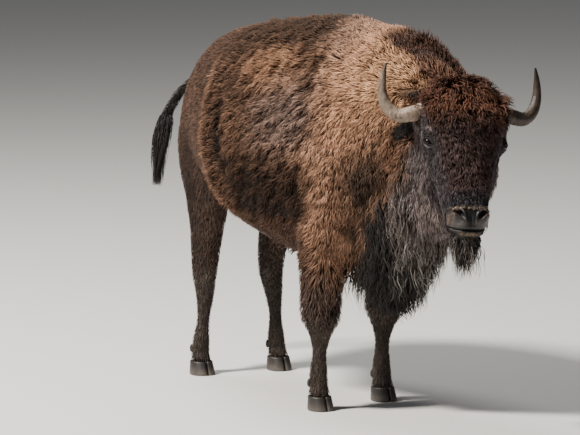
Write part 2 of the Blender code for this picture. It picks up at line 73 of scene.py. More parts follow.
EYE_IRIS = (0.009, 0.005, 0.004)
PUPIL = (0.0062, 0.0032)                      # half its length along the slit, and half its height
IRIS_EDGE = (0.0105, 0.0120)                  # radii between which the iris darkens

HORN_LINE = (                                 # front, side, along, radius
    (0.005, 0.150, 0.058, 0.031),
    (0.008, 0.200, 0.072, 0.030),
    (-0.008, 0.248, 0.074, 0.0270),
    (-0.018, 0.287, 0.042, 0.0235),
    (-0.018, 0.307, -0.010, 0.0190),
    (0.000, 0.307, -0.068, 0.0130),
    (0.022, 0.298, -0.120, 0.0035),
)
EAR_LINES = {                                 # front, side, along, half width, half thickness
    "right": (
        (-0.070, 0.125, 0.105, 0.020, 0.016),
        (-0.085, 0.160, 0.112, 0.030, 0.015),
        (-0.095, 0.190, 0.125, 0.036, 0.012),
        (-0.101, 0.212, 0.140, 0.030, 0.009),
        (-0.106, 0.230, 0.154, 0.010, 0.005),
    ),
    "left": (
        (-0.070, 0.125, 0.105, 0.020, 0.016),
        (-0.100, 0.152, 0.115, 0.030, 0.015),
        (-0.130, 0.172, 0.130, 0.036, 0.012),
        (-0.158, 0.182, 0.146, 0.030, 0.009),
        (-0.182, 0.188, 0.162, 0.010, 0.005),
    ),
}
EAR_RAISED = 0.036
DOCK_LINE = (                                 # x, y, z, radius
    (-0.790, 0.000, 1.225, 0.031),
    (-0.870, -0.018, 1.215, 0.027),
    (-0.930, -0.070, 1.165, 0.025),
    (-0.962, -0.116, 1.095, 0.026),
    (-0.975, -0.143, 1.025, 0.029),
)
TUFT_LINE = (
    (-0.976, -0.145, 1.018, 0.030),
    (-0.983, -0.159, 0.950, 0.036),
    (-0.986, -0.168, 0.880, 0.034),
    (-0.987, -0.173, 0.810, 0.024),
    (-0.987, -0.176, 0.745, 0.005),
)
TOP_LINE = (                                  # x, middle y, top z of the trunk
    (-0.86, 0.000, 1.130), (-0.815, 0.000, 1.225), (-0.695, 0.000, 1.360),
    (-0.51, 0.000, 1.445), (-0.29, 0.000, 1.490), (-0.08, 0.000, 1.522),
    (0.15, 0.010, 1.548), (0.37, 0.030, 1.568), (0.55, 0.080, 1.556),
    (0.70, 0.120, 1.534), (0.84, 0.150, 1.486), (0.945, 0.160, 1.400),
)

FLANK_LINE = (                                # x, z of the fold of skin ahead of the thigh
    (0.142, 0.713), (0.006, 0.769), (-0.080, 0.835), (-0.138, 0.931),
    (-0.192, 1.030), (-0.214, 1.290), (-0.290, 1.460),
)
MOUTH_ALONG = 0.536
MOUTH_SLOPE = math.radians(24)
NOSTRIL_PLACE = (0.049, 0.473)                # wide, along
NOSTRIL_SLANT = math.radians(-34)

FLESH = [
    "trunk", "rump", "shoulders", "neck", "throat_mane", "head", "muzzle", "lower_jaw", "tail",
    "foreleg_left", "foreleg_right", "hindleg_left", "hindleg_right",
    "fore_cannon_left", "fore_cannon_right", "hind_cannon_left", "hind_cannon_right",
]
SKIN_VOXEL = 0.0132
NODE_GROW = 0.0006            # closes the thin cuts between the flesh nodes
ROOT_SINK = 0.004             # how deep a hair's root sits in the skin
UNDERCOAT_SHADE = 0.62        # painted shade: the skin between the tufts, as a share of their colour
COAT_SEED, TAIL_SEED = 2024, 73
TAIL_RINGS, TAIL_STRANDS = 7, 7
TAIL_LOCK_WIDTH = 0.0042
PATCH = 0.003                 # each lock's patch on the OFBake map
STRAND = (0.0008, 0.012)      # width and length of the fine hairs drawn on a lock
HORN_STATIONS, HORN_SIDES = 150, 56
HORN_RIDGES = 23              # turns of the wave that makes the rings near the skull
# The left horn's tint is darker: partly its own colour, partly painted shade.
HORN_SHADES = {"left": 0.31, "right": 1.0}
CLAW_DUST = (0.19, 0.165, 0.14)
FLOOR_HALF = 60.0
SKY = (0.90, 0.94, 1.0)
LOOK_AT = (-0.03, -0.057, 0.711)              # middle of the view, in the animal's own frame
VIEW_TURN, VIEW_RISE = math.radians(62.0), math.radians(7.2)

# Each zone of the coat. Lengths in metres, density in tufts for each square metre.
# depth, length, width, wave, turns, clump size, pull, density, droop
ZONES = {
    "rump":     (0.010, 0.031, 0.0040, 0.0006, 0.4, 0.026, 0.22, 14500, 0.0),
    "thigh":    (0.009, 0.033, 0.0042, 0.0008, 0.5, 0.026, 0.30, 15000, 0.0),
    "barrel":   (0.026, 0.040, 0.0040, 0.0030, 0.6, 0.016, 0.36, 28000, 0.0),
    "belly":    (0.024, 0.050, 0.0050, 0.0036, 0.7, 0.024, 0.45, 13000, 0.2),
    "mantle":   (0.036, 0.042, 0.0039, 0.0032, 0.6, 0.014, 0.34, 33000, 0.0),
    "crest":    (0.040, 0.046, 0.0042, 0.0040, 0.7, 0.016, 0.40, 30000, 0.0),
    "throat":   (0.052, 0.150, 0.0052, 0.0130, 1.4, 0.040, 0.50, 13000, 0.8),
    "mop":      (0.052, 0.056, 0.0046, 0.0080, 1.0, 0.020, 0.50, 31000, 0.2),
    "forehead": (0.022, 0.031, 0.0037, 0.0045, 0.8, 0.014, 0.50, 37000, 0.0),
    "face":     (0.010, 0.0190, 0.0030, 0.0014, 0.6, 0.014, 0.42, 46000, 0.0),
    "jowl":     (0.024, 0.042, 0.0038, 0.0045, 0.8, 0.018, 0.40, 30000, 0.45),
    "muzzle":   (0.002, 0.007, 0.0018, 0.0002, 0.5, 0.010, 0.10, 26000, 0.0),
    "chin":     (0.010, 0.130, 0.0040, 0.0080, 1.1, 0.042, 0.55, 36000, 0.95),
    "ear":      (0.004, 0.017, 0.0028, 0.0015, 0.6, 0.012, 0.25, 38000, 0.1),
    "chaps":    (0.030, 0.062, 0.0054, 0.0050, 0.8, 0.028, 0.50, 16000, 0.3),
    "shin":     (0.0045, 0.022, 0.0034, 0.0008, 0.6, 0.020, 0.30, 20000, 0.0),
    "dock":     (0.009, 0.034, 0.0044, 0.0010, 0.6, 0.020, 0.25, 18000, 0.1),
}
MARKS = {                                     # colours laid over the zones' own; some are painted shade or painted highlights
    "back": (0.042, 0.022, 0.013),
    # the coat's own tan on the upper barrel, lightened further as a painted highlight
    "lit tan side": (0.270, 0.140, 0.077),
    "rippled side": (0.188, 0.124, 0.100),
    # painted shade low on the barrel's side, under its bulge
    "shaded low side": (0.023, 0.011, 0.006),
    "belly edge": (0.072, 0.034, 0.020),
    # painted shade in the hollow ahead of the flank's fold and in the groove behind its top
    "hollow": (0.010, 0.006, 0.005),
    # painted highlight along the ridge of the flank's fold
    "fold": (0.230, 0.122, 0.074),
    "haunch": (0.030, 0.020, 0.016),
    "pale neck": (0.455, 0.258, 0.143),
    "low shoulder": (0.330, 0.182, 0.116),
    # painted shade between the shoulder and the throat
    "shoulder shadow": (0.050, 0.032, 0.024),
    "shaded neck": (0.120, 0.064, 0.040),
    "neck behind crown": (0.125, 0.062, 0.038),
    # painted highlight on the brow ridge over each eye
    "brow": (0.240, 0.200, 0.195),
    # painted shade in the hollow above each eye
    "orbit shade": (0.018, 0.015, 0.013),
    "nose wing": (0.170, 0.115, 0.085),
    # painted shade in the mouth's groove and in the eyes' sunk openings
    "mouth": (0.006, 0.005, 0.005),
    "shank": (0.038, 0.028, 0.024),
    "crown": (0.056, 0.026, 0.018),
    # painted glint along each lower lid
    "lower lid glint": (0.240, 0.225, 0.235),
    "leather": (0.013, 0.012, 0.012),
    # painted highlight on the lobes below the nostrils
    "lobe highlight": (0.085, 0.072, 0.069),
    "nostril floor": (0.085, 0.056, 0.048),
    # painted highlight on the nostrils' rims
    "nostril rim highlight": (0.330, 0.290, 0.275),
    "red neck": (0.158, 0.080, 0.046),
    "upper jowl": (0.115, 0.090, 0.090),
    "upper mane": (0.145, 0.113, 0.104),
    "grey strands": (0.360, 0.325, 0.295),
    "black nose band": (0.027, 0.026, 0.031),
    # tan hair along the nose pad's top edge, partly a painted highlight
    "nose rim": (0.340, 0.250, 0.185),
    "lower lip": (0.270, 0.200, 0.135),
    "eye rim": (0.022, 0.018, 0.018),
    "dust": (0.150, 0.122, 0.098),
}
FINISHES = {
    # name: (roughness, specular, size of the grain, or None down each lock, strength of its bump)
    "hide": (0.80, 0.40, 0.012, 0.50),
    "nose_leather": (0.32, 0.34, 0.004, 1.00),
    "hair": (0.60, 0.16, None, 0.50),
    "long_hair": (0.50, 0.30, None, 0.50),
    "horn_sheath": (0.40, 0.30, 0.005, 0.80),
    "hoof_shell": (0.48, 0.40, 0.005, 0.35),
}
COLUMNS = ("depth", "length", "width", "wave", "turns", "clump", "pull", "density", "droop")
ZONE_NAMES = list(ZONES)


# ---- small helpers
def head_matrix():
    """The head's frame: x out of the face, y its left, z up the face, in the animal's frame."""
    turn = Matrix.Rotation(HEAD_YAW, 4, "Z") @ Matrix.Rotation(HEAD_ROLL, 4, "X")
    lean = Matrix.Rotation(-HEAD_PITCH, 4, "Y") @ Matrix.Diagonal((1, 1, HEAD_STRETCH, 1))
    return Matrix.Translation(HEAD_PLACE) @ turn @ lean


HEAD = np.array(head_matrix())
HEAD_BACK = np.linalg.inv(HEAD)
HEAD_TURN = HEAD[:3, :3]


def box_middle(node):
    """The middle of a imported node's box."""
    low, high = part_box(node)
    return (np.array(low) + np.array(high)) / 2


def eye_middle(side):
    """An eye's middle in the animal's own frame; side is 1 for the left and -1 for the right."""
    front, wide, along = EYE_PLACE
    return HEAD_TURN @ np.array([front, side * wide, -along]) + HEAD[:3, 3]


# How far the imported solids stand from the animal's own frame, read at the eyes.
SHIFT = (box_middle("eye_left") + box_middle("eye_right")) / 2 - (eye_middle(1) + eye_middle(-1)) / 2


def on_head(rows):
    """Rows of (front, side, along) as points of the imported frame."""
    rows = np.asarray(rows, float)
    local = np.stack([rows[..., 0], rows[..., 1], -rows[..., 2]], -1)
    return local @ HEAD_TURN.T + HEAD[:3, 3] + SHIFT


def to_head(points):
    """(front, side, along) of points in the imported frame, and their width from the middle."""
    local = (points - SHIFT) @ HEAD_BACK[:3, :3].T + HEAD_BACK[:3, 3]
    return local[:, 0], local[:, 1], -local[:, 2], np.abs(local[:, 1])


def smooth(low, high, value):
    """0 below low, 1 above high, and an even S between them."""
    t = np.clip((value - low) / (high - low), 0, 1)
    return t * t * (3 - 2 * t)


def fall(low, high, value):
    """1 below low, 0 above high, and an even S between them."""
    return 1 - smooth(low, high, value)


def bump(value, middle, width):
    """1 at the middle, falling evenly to 0 at one width from it."""
    return fall(0, width, np.abs(value - middle))


def unit(vectors):
    return vectors / np.maximum(np.linalg.norm(vectors, axis=-1, keepdims=True), 1e-9)


def turns_of(count):
    """Angles evenly spaced round a ring, as one row."""
    return np.linspace(0, 2 * math.pi, count, endpoint=False)[None]


def curve_through(rows, count):
    """Points on a Catmull-Rom curve through the rows, evenly spaced in its parameter."""
    rows = np.asarray(rows, float)
    padded = np.vstack([2 * rows[0] - rows[1], rows, 2 * rows[-1] - rows[-2]])
    t = np.linspace(0, len(rows) - 1, count)
    i = np.minimum(t.astype(int), len(rows) - 2)
    u = (t - i)[:, None]
    p0, p1, p2, p3 = (padded[i + k] for k in range(4))
    return 0.5 * (
        2 * p1 + (p2 - p0) * u
        + (2 * p0 - 5 * p1 + 4 * p2 - p3) * u**2
        + (3 * p1 - p0 - 3 * p2 + p3) * u**3
    )


def scattered(index, seed):
    """A number from 0 to 1 for each lattice point.

    Its indices times large odd numbers, mixed by shifts.
    """
    mixed = (index[..., 0] * 374761393 + index[..., 1] * 668265263
             + index[..., 2] * 1440670441 + seed * 1013904223).astype(np.uint32)
    mixed = (mixed ^ (mixed >> np.uint32(13))) * np.uint32(1274126177)
    return (mixed ^ (mixed >> np.uint32(16))) / 4294967295.0


def noise(points, size, seed):
    """Smooth noise from -1 to 1: the eight lattice corners' numbers, blended by cubic S curves."""
    cell = np.floor(points / size)
    part = points / size - cell
    part = part * part * (3 - 2 * part)
    cell = cell.astype(np.int64)
    total = 0.0
    for corner in np.ndindex(2, 2, 2):
        weight = np.prod(np.where(np.array(corner), part, 1 - part), axis=-1)
        total = total + weight * scattered(cell + np.array(corner), seed)
    return total * 2 - 1


def layered(points, size, seed, layers=3):
    """Noise summed over halving sizes and halving strengths."""
    return sum(noise(points, size / 2**k, seed + k) / 2**k for k in range(layers)) / 1.5


def clump_middles(points, size, seed):
    """The nearest of one jittered point in each lattice cell, and its own number from 0 to 1."""
    size = np.broadcast_to(size, points.shape[:1])[:, None]
    step = np.round(np.log(size) / np.log(1.35))
    size = 1.35**step
    cell = np.floor(points / size).astype(np.int64)
    best = np.full(len(points), np.inf)
    found = points.copy()
    number = np.zeros(len(points))
    for offset in np.ndindex(3, 3, 3):
        index = cell + np.array(offset) - 1
        jitter = np.stack([scattered(index, seed + k) for k in range(3)], -1)
        middle = (index + jitter) * size
        distance = ((middle - points) ** 2).sum(-1)
        near = distance < best
        best = np.where(near, distance, best)
        found[near] = middle[near]
        number[near] = scattered(index, seed + 7)[near]
    return found, number


# ---- zones, lie and markings
def lines_distance(points, rows):
    """Distance to the broken line through the rows, and the direction of its nearest piece."""
    rows = np.asarray(rows, float)[:, :3]
    best = np.full(len(points), np.inf)
    ways = np.zeros_like(points)
    for a, b in zip(rows[:-1], rows[1:]):
        share = np.clip(((points - a) @ (b - a)) / ((b - a) @ (b - a)), 0, 1)
        distance = np.linalg.norm(points - a - share[:, None] * (b - a), axis=1)
        near = distance < best
        best = np.where(near, distance, best)
        ways[near] = (b - a) / np.linalg.norm(b - a)
    return best, ways


def below_top(own):
    """Height of the trunk's top line over each point, less the point's own height."""
    line = np.array(TOP_LINE)
    return np.interp(own[:, 0], line[:, 0], line[:, 2]) - own[:, 2]


def middle_line(own):
    """How far left the back's middle line lies over each point."""
    line = np.array(TOP_LINE)
    return np.interp(own[:, 0], line[:, 0], line[:, 1])


def ahead_of_flank(own):
    """How far each point lies ahead of the flank's fold, seen from the side."""
    line = np.array(FLANK_LINE)
    distance = lines_distance(own * (1, 0, 1), np.column_stack([line[:, 0], 0 * line[:, 0], line[:, 1]]))[0]
    return np.where(own[:, 0] > np.interp(own[:, 2], line[:, 1], line[:, 0]), distance, -distance)


def below_mouth(front, along):
    """Distance below the line of the mouth, which rises towards the cheeks."""
    return (along - (MOUTH_ALONG - (0.070 - front) * math.tan(MOUTH_SLOPE))) * math.cos(MOUTH_SLOPE)


def ear_line(side_name):
    """Points down the middle of an ear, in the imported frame."""
    rows = np.array(EAR_LINES[side_name])[:, :3] - (0, 0, EAR_RAISED)
    return on_head(rows * (1, SIDES[side_name], 1))


def from_eye(points, side_name):
    """Distance to one eye's middle."""
    return np.linalg.norm(points - box_middle(f"eye_{side_name}"), axis=1)


def from_eyes(points):
    """Distance to the nearer eye."""
    return np.minimum(*(from_eye(points, side_name) for side_name in SIDES))


def brisket(own):
    """1 on the underside of the chest between the forelegs."""
    x, y, z = own.T
    return smooth(0.36, 0.44, x) * fall(0.075, 0.105, np.abs(y - 0.015)) * fall(0.64, 0.70, z)


def lay(shares, zone, mask):
    """Lays a zone over the ones before it, as far as its mask says."""
    shares *= (1 - mask)[:, None]
    shares[:, ZONE_NAMES.index(zone)] += mask


def share_of(shares, *zones):
    """How far each point belongs to the named zones together."""
    return sum(shares[:, ZONE_NAMES.index(zone)] for zone in zones)


def zone_shares(points):
    """How far each point belongs to each zone: masks laid over one another in order."""
    own = points - SHIFT
    x, y, z = own.T
    front, _, along, wide = to_head(points)
    shares = np.zeros((len(points), len(ZONES)))
    over = functools.partial(lay, shares)
    over("barrel", np.ones(len(points)))
    drop = below_top(own)
    ragged = 0.012 * noise(own, 0.05, 19)
    over("belly", fall(0.70, 0.80, z) * fall(0.50, 0.56, x))
    edge = 0.50 - 0.11 * smooth(1.38, 1.54, z)
    over("mantle", smooth(edge - 0.075, edge + 0.060, x + 2 * ragged + 0.045 * noise(own, 0.13, 97)))
    off = y - middle_line(own)
    # The crest runs onto the neck's far side; its dark colour there is partly painted shade.
    over("crest", smooth(0.60, 0.65, x + ragged) * smooth(-0.085, -0.045, off + ragged)
         * fall(0.15, 0.20, off) * fall(0.20, 0.26, drop))
    soft = 0.018 + 0.10 * smooth(1.24, 1.40, z) + 0.06 * fall(0.72, 0.80, z)
    over("rump", fall(-1, 1, (ahead_of_flank(own) + 0.9 * ragged) / soft))
    over("thigh", fall(-0.42, -0.30, x) * fall(0.78, 0.98, z))
    hem = np.interp(x, (0.60, 0.66, 0.72, 0.80), (0.72, 0.84, 0.94, 0.98))
    rear = np.interp(z, (0.60, 0.65, 0.70, 0.85), (0.540, 0.565, 0.620, 0.650))
    over("throat", smooth(rear - 0.03, rear + 0.03, x + ragged) * fall(hem - 0.05, hem + 0.04, z))
    over("chaps", fall(0.50, 0.66, z) * smooth(0.15, 0.22, x) * fall(0.55, 0.58, x))
    over("throat", brisket(own))
    over("shin", fall(0.32, 0.46, z) * smooth(0.0, 0.1, x) * fall(0.60, 0.63, x))
    over("shin", fall(0.36, 0.54, z) * fall(-0.30, -0.20, x))
    over("dock", fall(0.034, 0.052, lines_distance(own, DOCK_LINE)[0]))
    limit = np.interp(along, (0.05, 0.10, 0.17, 0.27, 0.33), (-0.060, -0.085, -0.133, -0.205, -0.245))
    head = (smooth(limit - 0.025, limit + 0.02, front + ragged) * fall(0.24, 0.27, wide)
            * smooth(-0.20, -0.16, along) * fall(0.66, 0.70, along))
    shares *= (1 - head)[:, None]
    half = np.interp(along, (0.05, 0.15, 0.25, 0.38, 0.42), (0.150, 0.135, 0.100, 0.066, 0.040)) + ragged
    band = fall(half - 0.024, half + 0.024, wide)
    cap = fall(0.05, 0.16, along) * np.maximum(band, fall(0.02, 0.05, along))
    brow = fall(0.355, 0.395, along + ragged) * band * smooth(-0.02, 0.04, front)
    back = fall(-0.07, -0.01, front + 0.10 * smooth(0.2, 0.45, along))
    nose = smooth(0.435, 0.47, along) * smooth(-0.01, 0.03, front)
    chin = (smooth(0.021, 0.028, below_mouth(front, along)) * smooth(0.50, 0.52, along)
            * smooth(-0.17, -0.13, front) * fall(0.054, 0.068, wide))
    parts = np.zeros_like(shares)
    lay(parts, "face", np.ones(len(points)))
    for zone, mask in (("jowl", back), ("forehead", brow), ("mop", cap), ("muzzle", nose), ("chin", chin)):
        lay(parts, zone, mask)
    shares += parts * head[:, None]
    for side_name, sign in SIDES.items():
        far = lines_distance(points, ear_line(side_name))[0] + 0.8 * ragged
        over("ear", fall(0.026, 0.040, far))
        edge = on_head(np.array([(-0.066, sign * 0.206, -0.034), (-0.050, sign * 0.165, -0.028)]))
        over("ear", 0.9 * fall(0.016, 0.044, lines_distance(points, edge)[0] + 1.3 * ragged))
    return shares


def zone_value(shares, column):
    """A column of the zones' table, blended by the shares."""
    return shares @ np.array([row[COLUMNS.index(column)] for row in ZONES.values()], float)


def coat_depth(points, shares):
    """Depth of the coat, less round the eyes, where the hair is short."""
    depth = zone_value(shares, "depth")
    for side_name in SIDES:
        depth = depth * (0.35 + 0.65 * smooth(0.030, 0.075, from_eye(points, side_name)))
    return depth


def lie(points, normals, shares):
    """The way the hair lies on the skin: the zones' directions, blended, turned a little by noise."""
    share = functools.partial(share_of, shares)
    own = points - SHIFT
    off = own[:, 1] - middle_line(own)
    part = np.clip(off / 0.16, -1, 1) * fall(0.02, 0.22, below_top(own))
    _, side, along, _ = to_head(points)
    crown = np.clip(side / 0.06, -1, 1)
    ways = {
        "rump": (-0.80, 0, -0.60), "thigh": (-0.22, 0, -1.0), "barrel": (-0.74, 0, -0.68),
        "belly": (-0.85, 0, -0.35), "mantle": (-0.42, 0, -0.90), "crest": (-0.50, 0, -0.70),
        "throat": (-0.10, 0, -1.0), "chaps": (-0.16, 0, -1.0), "shin": (-0.02, 0, -1.0),
        "mop": HEAD_TURN @ (0.50, 0, -0.90), "forehead": HEAD_TURN @ (0.10, 0, -1.0),
        "face": HEAD_TURN @ (-0.10, 0, -1.0), "jowl": HEAD_TURN @ (-0.45, 0, -0.95),
        "muzzle": HEAD_TURN @ (-0.2, 0, -1.0), "chin": (0, 0, -1.0), "ear": (0, 0, 0), "dock": (0, 0, 0),
    }
    way = shares @ np.array([ways[zone] for zone in ZONE_NAMES], float)
    way[:, 0] -= 0.35 * share("barrel") * smooth(1.20, 1.40, own[:, 2])
    way[:, 1] += 0.40 * part * (1 - share("rump"))
    slope = smooth(0.05, 0.30, normals[:, 0]) * smooth(0.15, 0.50, normals[:, 2]) * share("crest", "mantle")
    way += slope[:, None] * (-0.50, 0, 0.80)
    curly = share("mop") + 0.5 * share("forehead")
    way += (curly * crown * 0.40)[:, None] * HEAD_TURN[:, 1]
    way += share("dock")[:, None] * lines_distance(own, DOCK_LINE)[1]
    for side_name in SIDES:
        far, along_ear = lines_distance(points, ear_line(side_name))
        way += (share("ear") * fall(0.05, 0.09, far))[:, None] * along_ear
    way += share("ear")[:, None] * (0, 0, -0.2)
    way = unit(way - normals * (way * normals).sum(1, keepdims=True))
    wavy = 0.26 + 0.9 * curly + 0.22 * share("barrel", "mantle", "throat", "jowl", "chaps")
    wavy += 1.1 * share("mop") * bump(along, -0.06, 0.10)
    angle = 0.35 * layered(points, 0.16, 11) + wavy * noise(points, 0.032, 17)
    across = np.cross(normals, way)
    return unit(way * np.cos(angle)[:, None] + across * np.sin(angle)[:, None])


def astray(way, normal, angle):
    """The way turned about the normal by an angle of its own for each hair."""
    return unit(way * np.cos(angle)[:, None] + np.cross(normal, way) * np.sin(angle)[:, None])


def ripples(own):
    """Long ridges of clumped hair: noise that is fine across the barrel's lie and long along it."""
    along = own @ (-0.74, 0.0, -0.68)
    across = own @ (0.68, 0.0, -0.74) + 0.010 * noise(own, 0.07, 29)
    return noise(np.stack([along * 0.24, own[:, 1] * 0.5, across], -1), 0.016, 59)


def marked(tint, marks):
    """The tint with each mark's colour laid over it in order, as far as its mask says."""
    for name, mask in marks:
        tint = tint + (np.array(MARKS[name]) - tint) * np.clip(mask, 0, 1)[:, None]
    return tint


def markings(points, shares, colours):
    """The coat's colour at each point: the zones' colours blended, then marked where hair is worn or
    differs, and with painted shade and highlights.
    """
    share = functools.partial(share_of, shares)
    own = points - SHIFT
    x, _, z = own.T
    front, _, along, wide = to_head(points)
    ahead = ahead_of_flank(own)
    barrel, rump, mantle, throat = share("barrel"), share("rump"), share("mantle"), share("throat")
    ragged = 0.012 * noise(own, 0.05, 19)
    # Where painted shade darkens the crease ahead of the flank's fold.
    crease = bump(ahead, 0.104, 0.078 + 2 * ragged) * (0.30 + 0.70 * bump(z, 1.04, 0.20))
    crease = crease * fall(1.16, 1.32, z)
    streak = smooth(0.05, 0.55, noise(points * np.array([1, 1, 0.25]), 0.014, 31))
    nose = smooth(-0.01, 0.03, front)
    lip = bump(below_mouth(front, along), 0.015, 0.012) * fall(0.034, 0.050, wide)
    specks = 0.35 + 0.65 * smooth(-0.3, 0.3, noise(points, 0.005, 73))
    dusty = smooth(0.1, 0.8, noise(points * np.array([1, 1, 0.5]), 0.030, 41))
    marks = [
        ("back", 0.8 * fall(0.10, 0.17, below_top(own)) * barrel),
        # The coat's own tan on the upper barrel, partly a painted highlight where light falls on it.
        ("lit tan side", 0.95 * bump(x, 0.20, 0.26) * bump(z, 1.328, 0.135) * barrel
         * (1 + 0.5 * layered(points, 0.12, 23))),
        ("rippled side", 0.9 * bump(x, 0.345, 0.30) * bump(z, 1.17, 0.23) * barrel),
        # Painted shade low on the barrel's side, under its bulge.
        ("shaded low side", 0.95 * fall(0.90, 1.08, z) * smooth(-0.06, 0.10, x) * barrel),
        ("belly edge", 0.9 * fall(0.74, 0.80, z) * (barrel + share("belly"))),
        # Painted shade in the hollow ahead of the fold, and in the groove behind its top.
        ("hollow", 0.95 * smooth(0, 0.8, crease) * smooth(0.72, 0.86, z) * barrel),
        ("hollow", 0.8 * bump(x, -0.292, 0.030) * bump(z, 1.265, 0.075) * rump),
        # Painted highlight along the fold's ridge.
        ("fold", 0.8 * bump(ahead, -0.012, 0.030) * smooth(0.72, 0.80, z) * fall(1.28, 1.38, z)),
        ("haunch", 0.7 * bump(x, -0.58, 0.09) * fall(0.98, 1.10, z) * (rump + share("thigh"))),
        ("neck behind crown", smooth(0.77, 0.82, x) * share("crest")),
        ("rippled side", 0.55 * fall(0.46, 0.60, x + 3 * ragged) * smooth(0.95, 1.10, z) * mantle),
        ("pale neck", 0.9 * smooth(0.60, 0.74, x) * smooth(1.16, 1.30, z) * mantle),
        ("low shoulder", 0.9 * fall(0.94, 1.26, z - 0.2 * (x - 0.62)) * mantle),
        ("shaded neck", 0.85 * smooth(0.60, 0.76, x) * fall(1.02, 1.20, z) * mantle),
        # Painted shade between the shoulder and the throat, and on the shoulder's low front.
        ("shoulder shadow", 0.92 * smooth(0, 0.8, bump(x, 0.700, 0.16) * bump(z, 0.915, 0.24)) * mantle),
        ("shoulder shadow", 0.92 * smooth(0.535, 0.600, x + ragged) * fall(0.74, 0.86, z) * mantle),
        ("red neck", 0.9 * smooth(0.75, 0.83, x) * fall(1.08, 1.20, z) * mantle),
        ("upper mane", 0.85 * smooth(0.745, 0.790, x + ragged) * smooth(0.70, 0.77, z) * throat),
        ("grey strands", 1.1 * streak * fall(0.76, 0.86, z) * smooth(0.70, 0.80, x) * throat),
        ("grey strands", 0.15 * streak * share("jowl", "chin")),
        ("upper jowl", 0.75 * fall(0.26, 0.38, along) * share("jowl")),
        ("crown", 0.75 * fall(-0.06, 0.03, along) * share("mop")),
        ("black nose band", bump(along, 0.425, 0.030) * nose * fall(0.08, 0.10, wide)),
        # Tan hair along the nose pad's top edge, partly a painted highlight.
        ("nose rim", bump(along - 0.9 * (wide - 0.03) ** 2, 0.450, 0.0095) * fall(0.064, 0.076, wide)
         * smooth(0, 0.03, front)),
        ("lower lip", lip * nose * specks),
        ("nose wing", 0.8 * bump(wide, 0.080, 0.0080) * bump(along, 0.490, 0.042) * smooth(0, 0.03, front)),
    ]
    for side_name in SIDES:
        a, b, _, _ = eye_places(points, side_name)
        near = (from_eye(points, side_name) < 0.11) * 1.0
        marks += [
            # Painted shade in the hollow above each eye.
            ("orbit shade", 0.85 * smooth(0, 0.6, bump(b, 0.030, 0.026) * bump(a, 0.004, 0.036)) * near),
            ("eye rim", 0.85 * fall(1.6, 2.6, eye_ring(a, b)) * near),
            # Painted highlights on the brow ridge above each eye and on the orbit's rim beside it.
            ("brow", 0.85 * bump(b, 0.058, 0.011) * bump(a, -0.006, 0.046) * near),
            ("brow", 0.60 * bump(a + 0.6 * b, -0.036, 0.013) * bump(b, 0.018, 0.040) * near),
            # Painted glint along the lower lid.
            ("lower lid glint", 0.8 * bump(b, -0.0170, 0.0042) * bump(a, 0.006, 0.019) * near),
            ("eye rim", 0.7 * bump(a - 0.25 * b, 0.010, 0.012) * bump(b, -0.052, 0.028) * near),
        ]
    marks += [("shank", 0.85 * fall(0.34, 0.50, z) * share("chaps")), ("dust", 0.5 * dusty * share("shin"))]
    fine = share("face", "forehead", "jowl", "crest") + 0.5 * mantle + 0.7 * rump
    rough = 1 + 0.22 * layered(points, 0.22, 43) + 0.18 * noise(points, 0.05, 47)
    rough = rough + 0.38 * fine * noise(points, 0.011, 83)
    rough = rough * (1 + 0.30 * share("face") * noise(points, 0.022, 89))
    rough = rough * (1 + 0.60 * ripples(own) * (barrel + 0.3 * mantle))
    return marked(shares @ colours, marks) * rough[:, None]


# ---- mesh building
def new_object(name, mesh, material):
    """An object in the scene, its mesh in one material."""
    body = bpy.data.objects.new(name, mesh)
    bpy.context.scene.collection.objects.link(body)
    mesh.materials.clear()
    mesh.materials.append(material)
    return body


def place(body, slot, *nodes):
    """Rides a finished piece on the animal, in place of the given nodes. Its slot is not used."""
    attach(body, "root")
    if nodes:
        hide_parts(*nodes)
    return body


def array_mesh(name, points, loops, counts):
    """A mesh of the points, with faces of the given corner counts read from the loops in turn."""
    mesh = bpy.data.meshes.new(name)
    mesh.vertices.add(len(points))
    mesh.vertices.foreach_set("co", np.asarray(points, np.float32).ravel())
    mesh.loops.add(len(loops))
    mesh.loops.foreach_set("vertex_index", np.asarray(loops, np.int32))
    starts = np.concatenate([[0], np.cumsum(counts)[:-1]]).astype(np.int32)
    mesh.polygons.add(len(counts))
    mesh.polygons.foreach_set("loop_start", starts)
    mesh.polygons.foreach_set("use_smooth", np.ones(len(counts), bool))
    mesh.update(calc_edges=True)
    if mesh.validate():
        raise RuntimeError(f"{name} came out with faulty faces")
    return mesh


def paint(mesh, tint):
    """Keeps a colour at each vertex in the attribute that the coat's materials read."""
    layer = mesh.attributes.new("tint", "FLOAT_COLOR", "POINT")
    colour = np.ones((len(tint), 4), np.float32)
    colour[:, :3] = np.clip(tint, 0, 1)
    layer.data.foreach_set("color", colour.ravel())


def move_to(mesh, points):
    """Moves a mesh's vertices to the points."""
    mesh.vertices.foreach_set("co", points.astype(np.float32).ravel())
    mesh.update()


def grid_mesh(name, points):
    """A tube from points[along, around]: quads between the rings, and a fan over each end."""
    rings, sides = points.shape[:2]
    index = np.arange(rings * sides).reshape(rings, sides)
    after = np.roll(index, -1, axis=1)
    quads = np.stack([index[:-1], after[:-1], after[1:], index[1:]], -1).reshape(-1, 4)
    first = np.full(sides, rings * sides)
    fans = np.concatenate([np.stack([first, after[0], index[0]], -1),
                           np.stack([first + 1, index[-1], after[-1]], -1)])
    verts = np.concatenate([points.reshape(-1, 3), points[0].mean(0)[None], points[-1].mean(0)[None]])
    mesh = array_mesh(name, verts, np.concatenate([quads.ravel(), fans.ravel()]),
                      np.repeat([4, 3], [len(quads), len(fans)]))
    work = bmesh.new()
    work.from_mesh(mesh)
    bmesh.ops.recalc_face_normals(work, faces=work.faces)
    work.to_mesh(mesh)
    work.free()
    return mesh


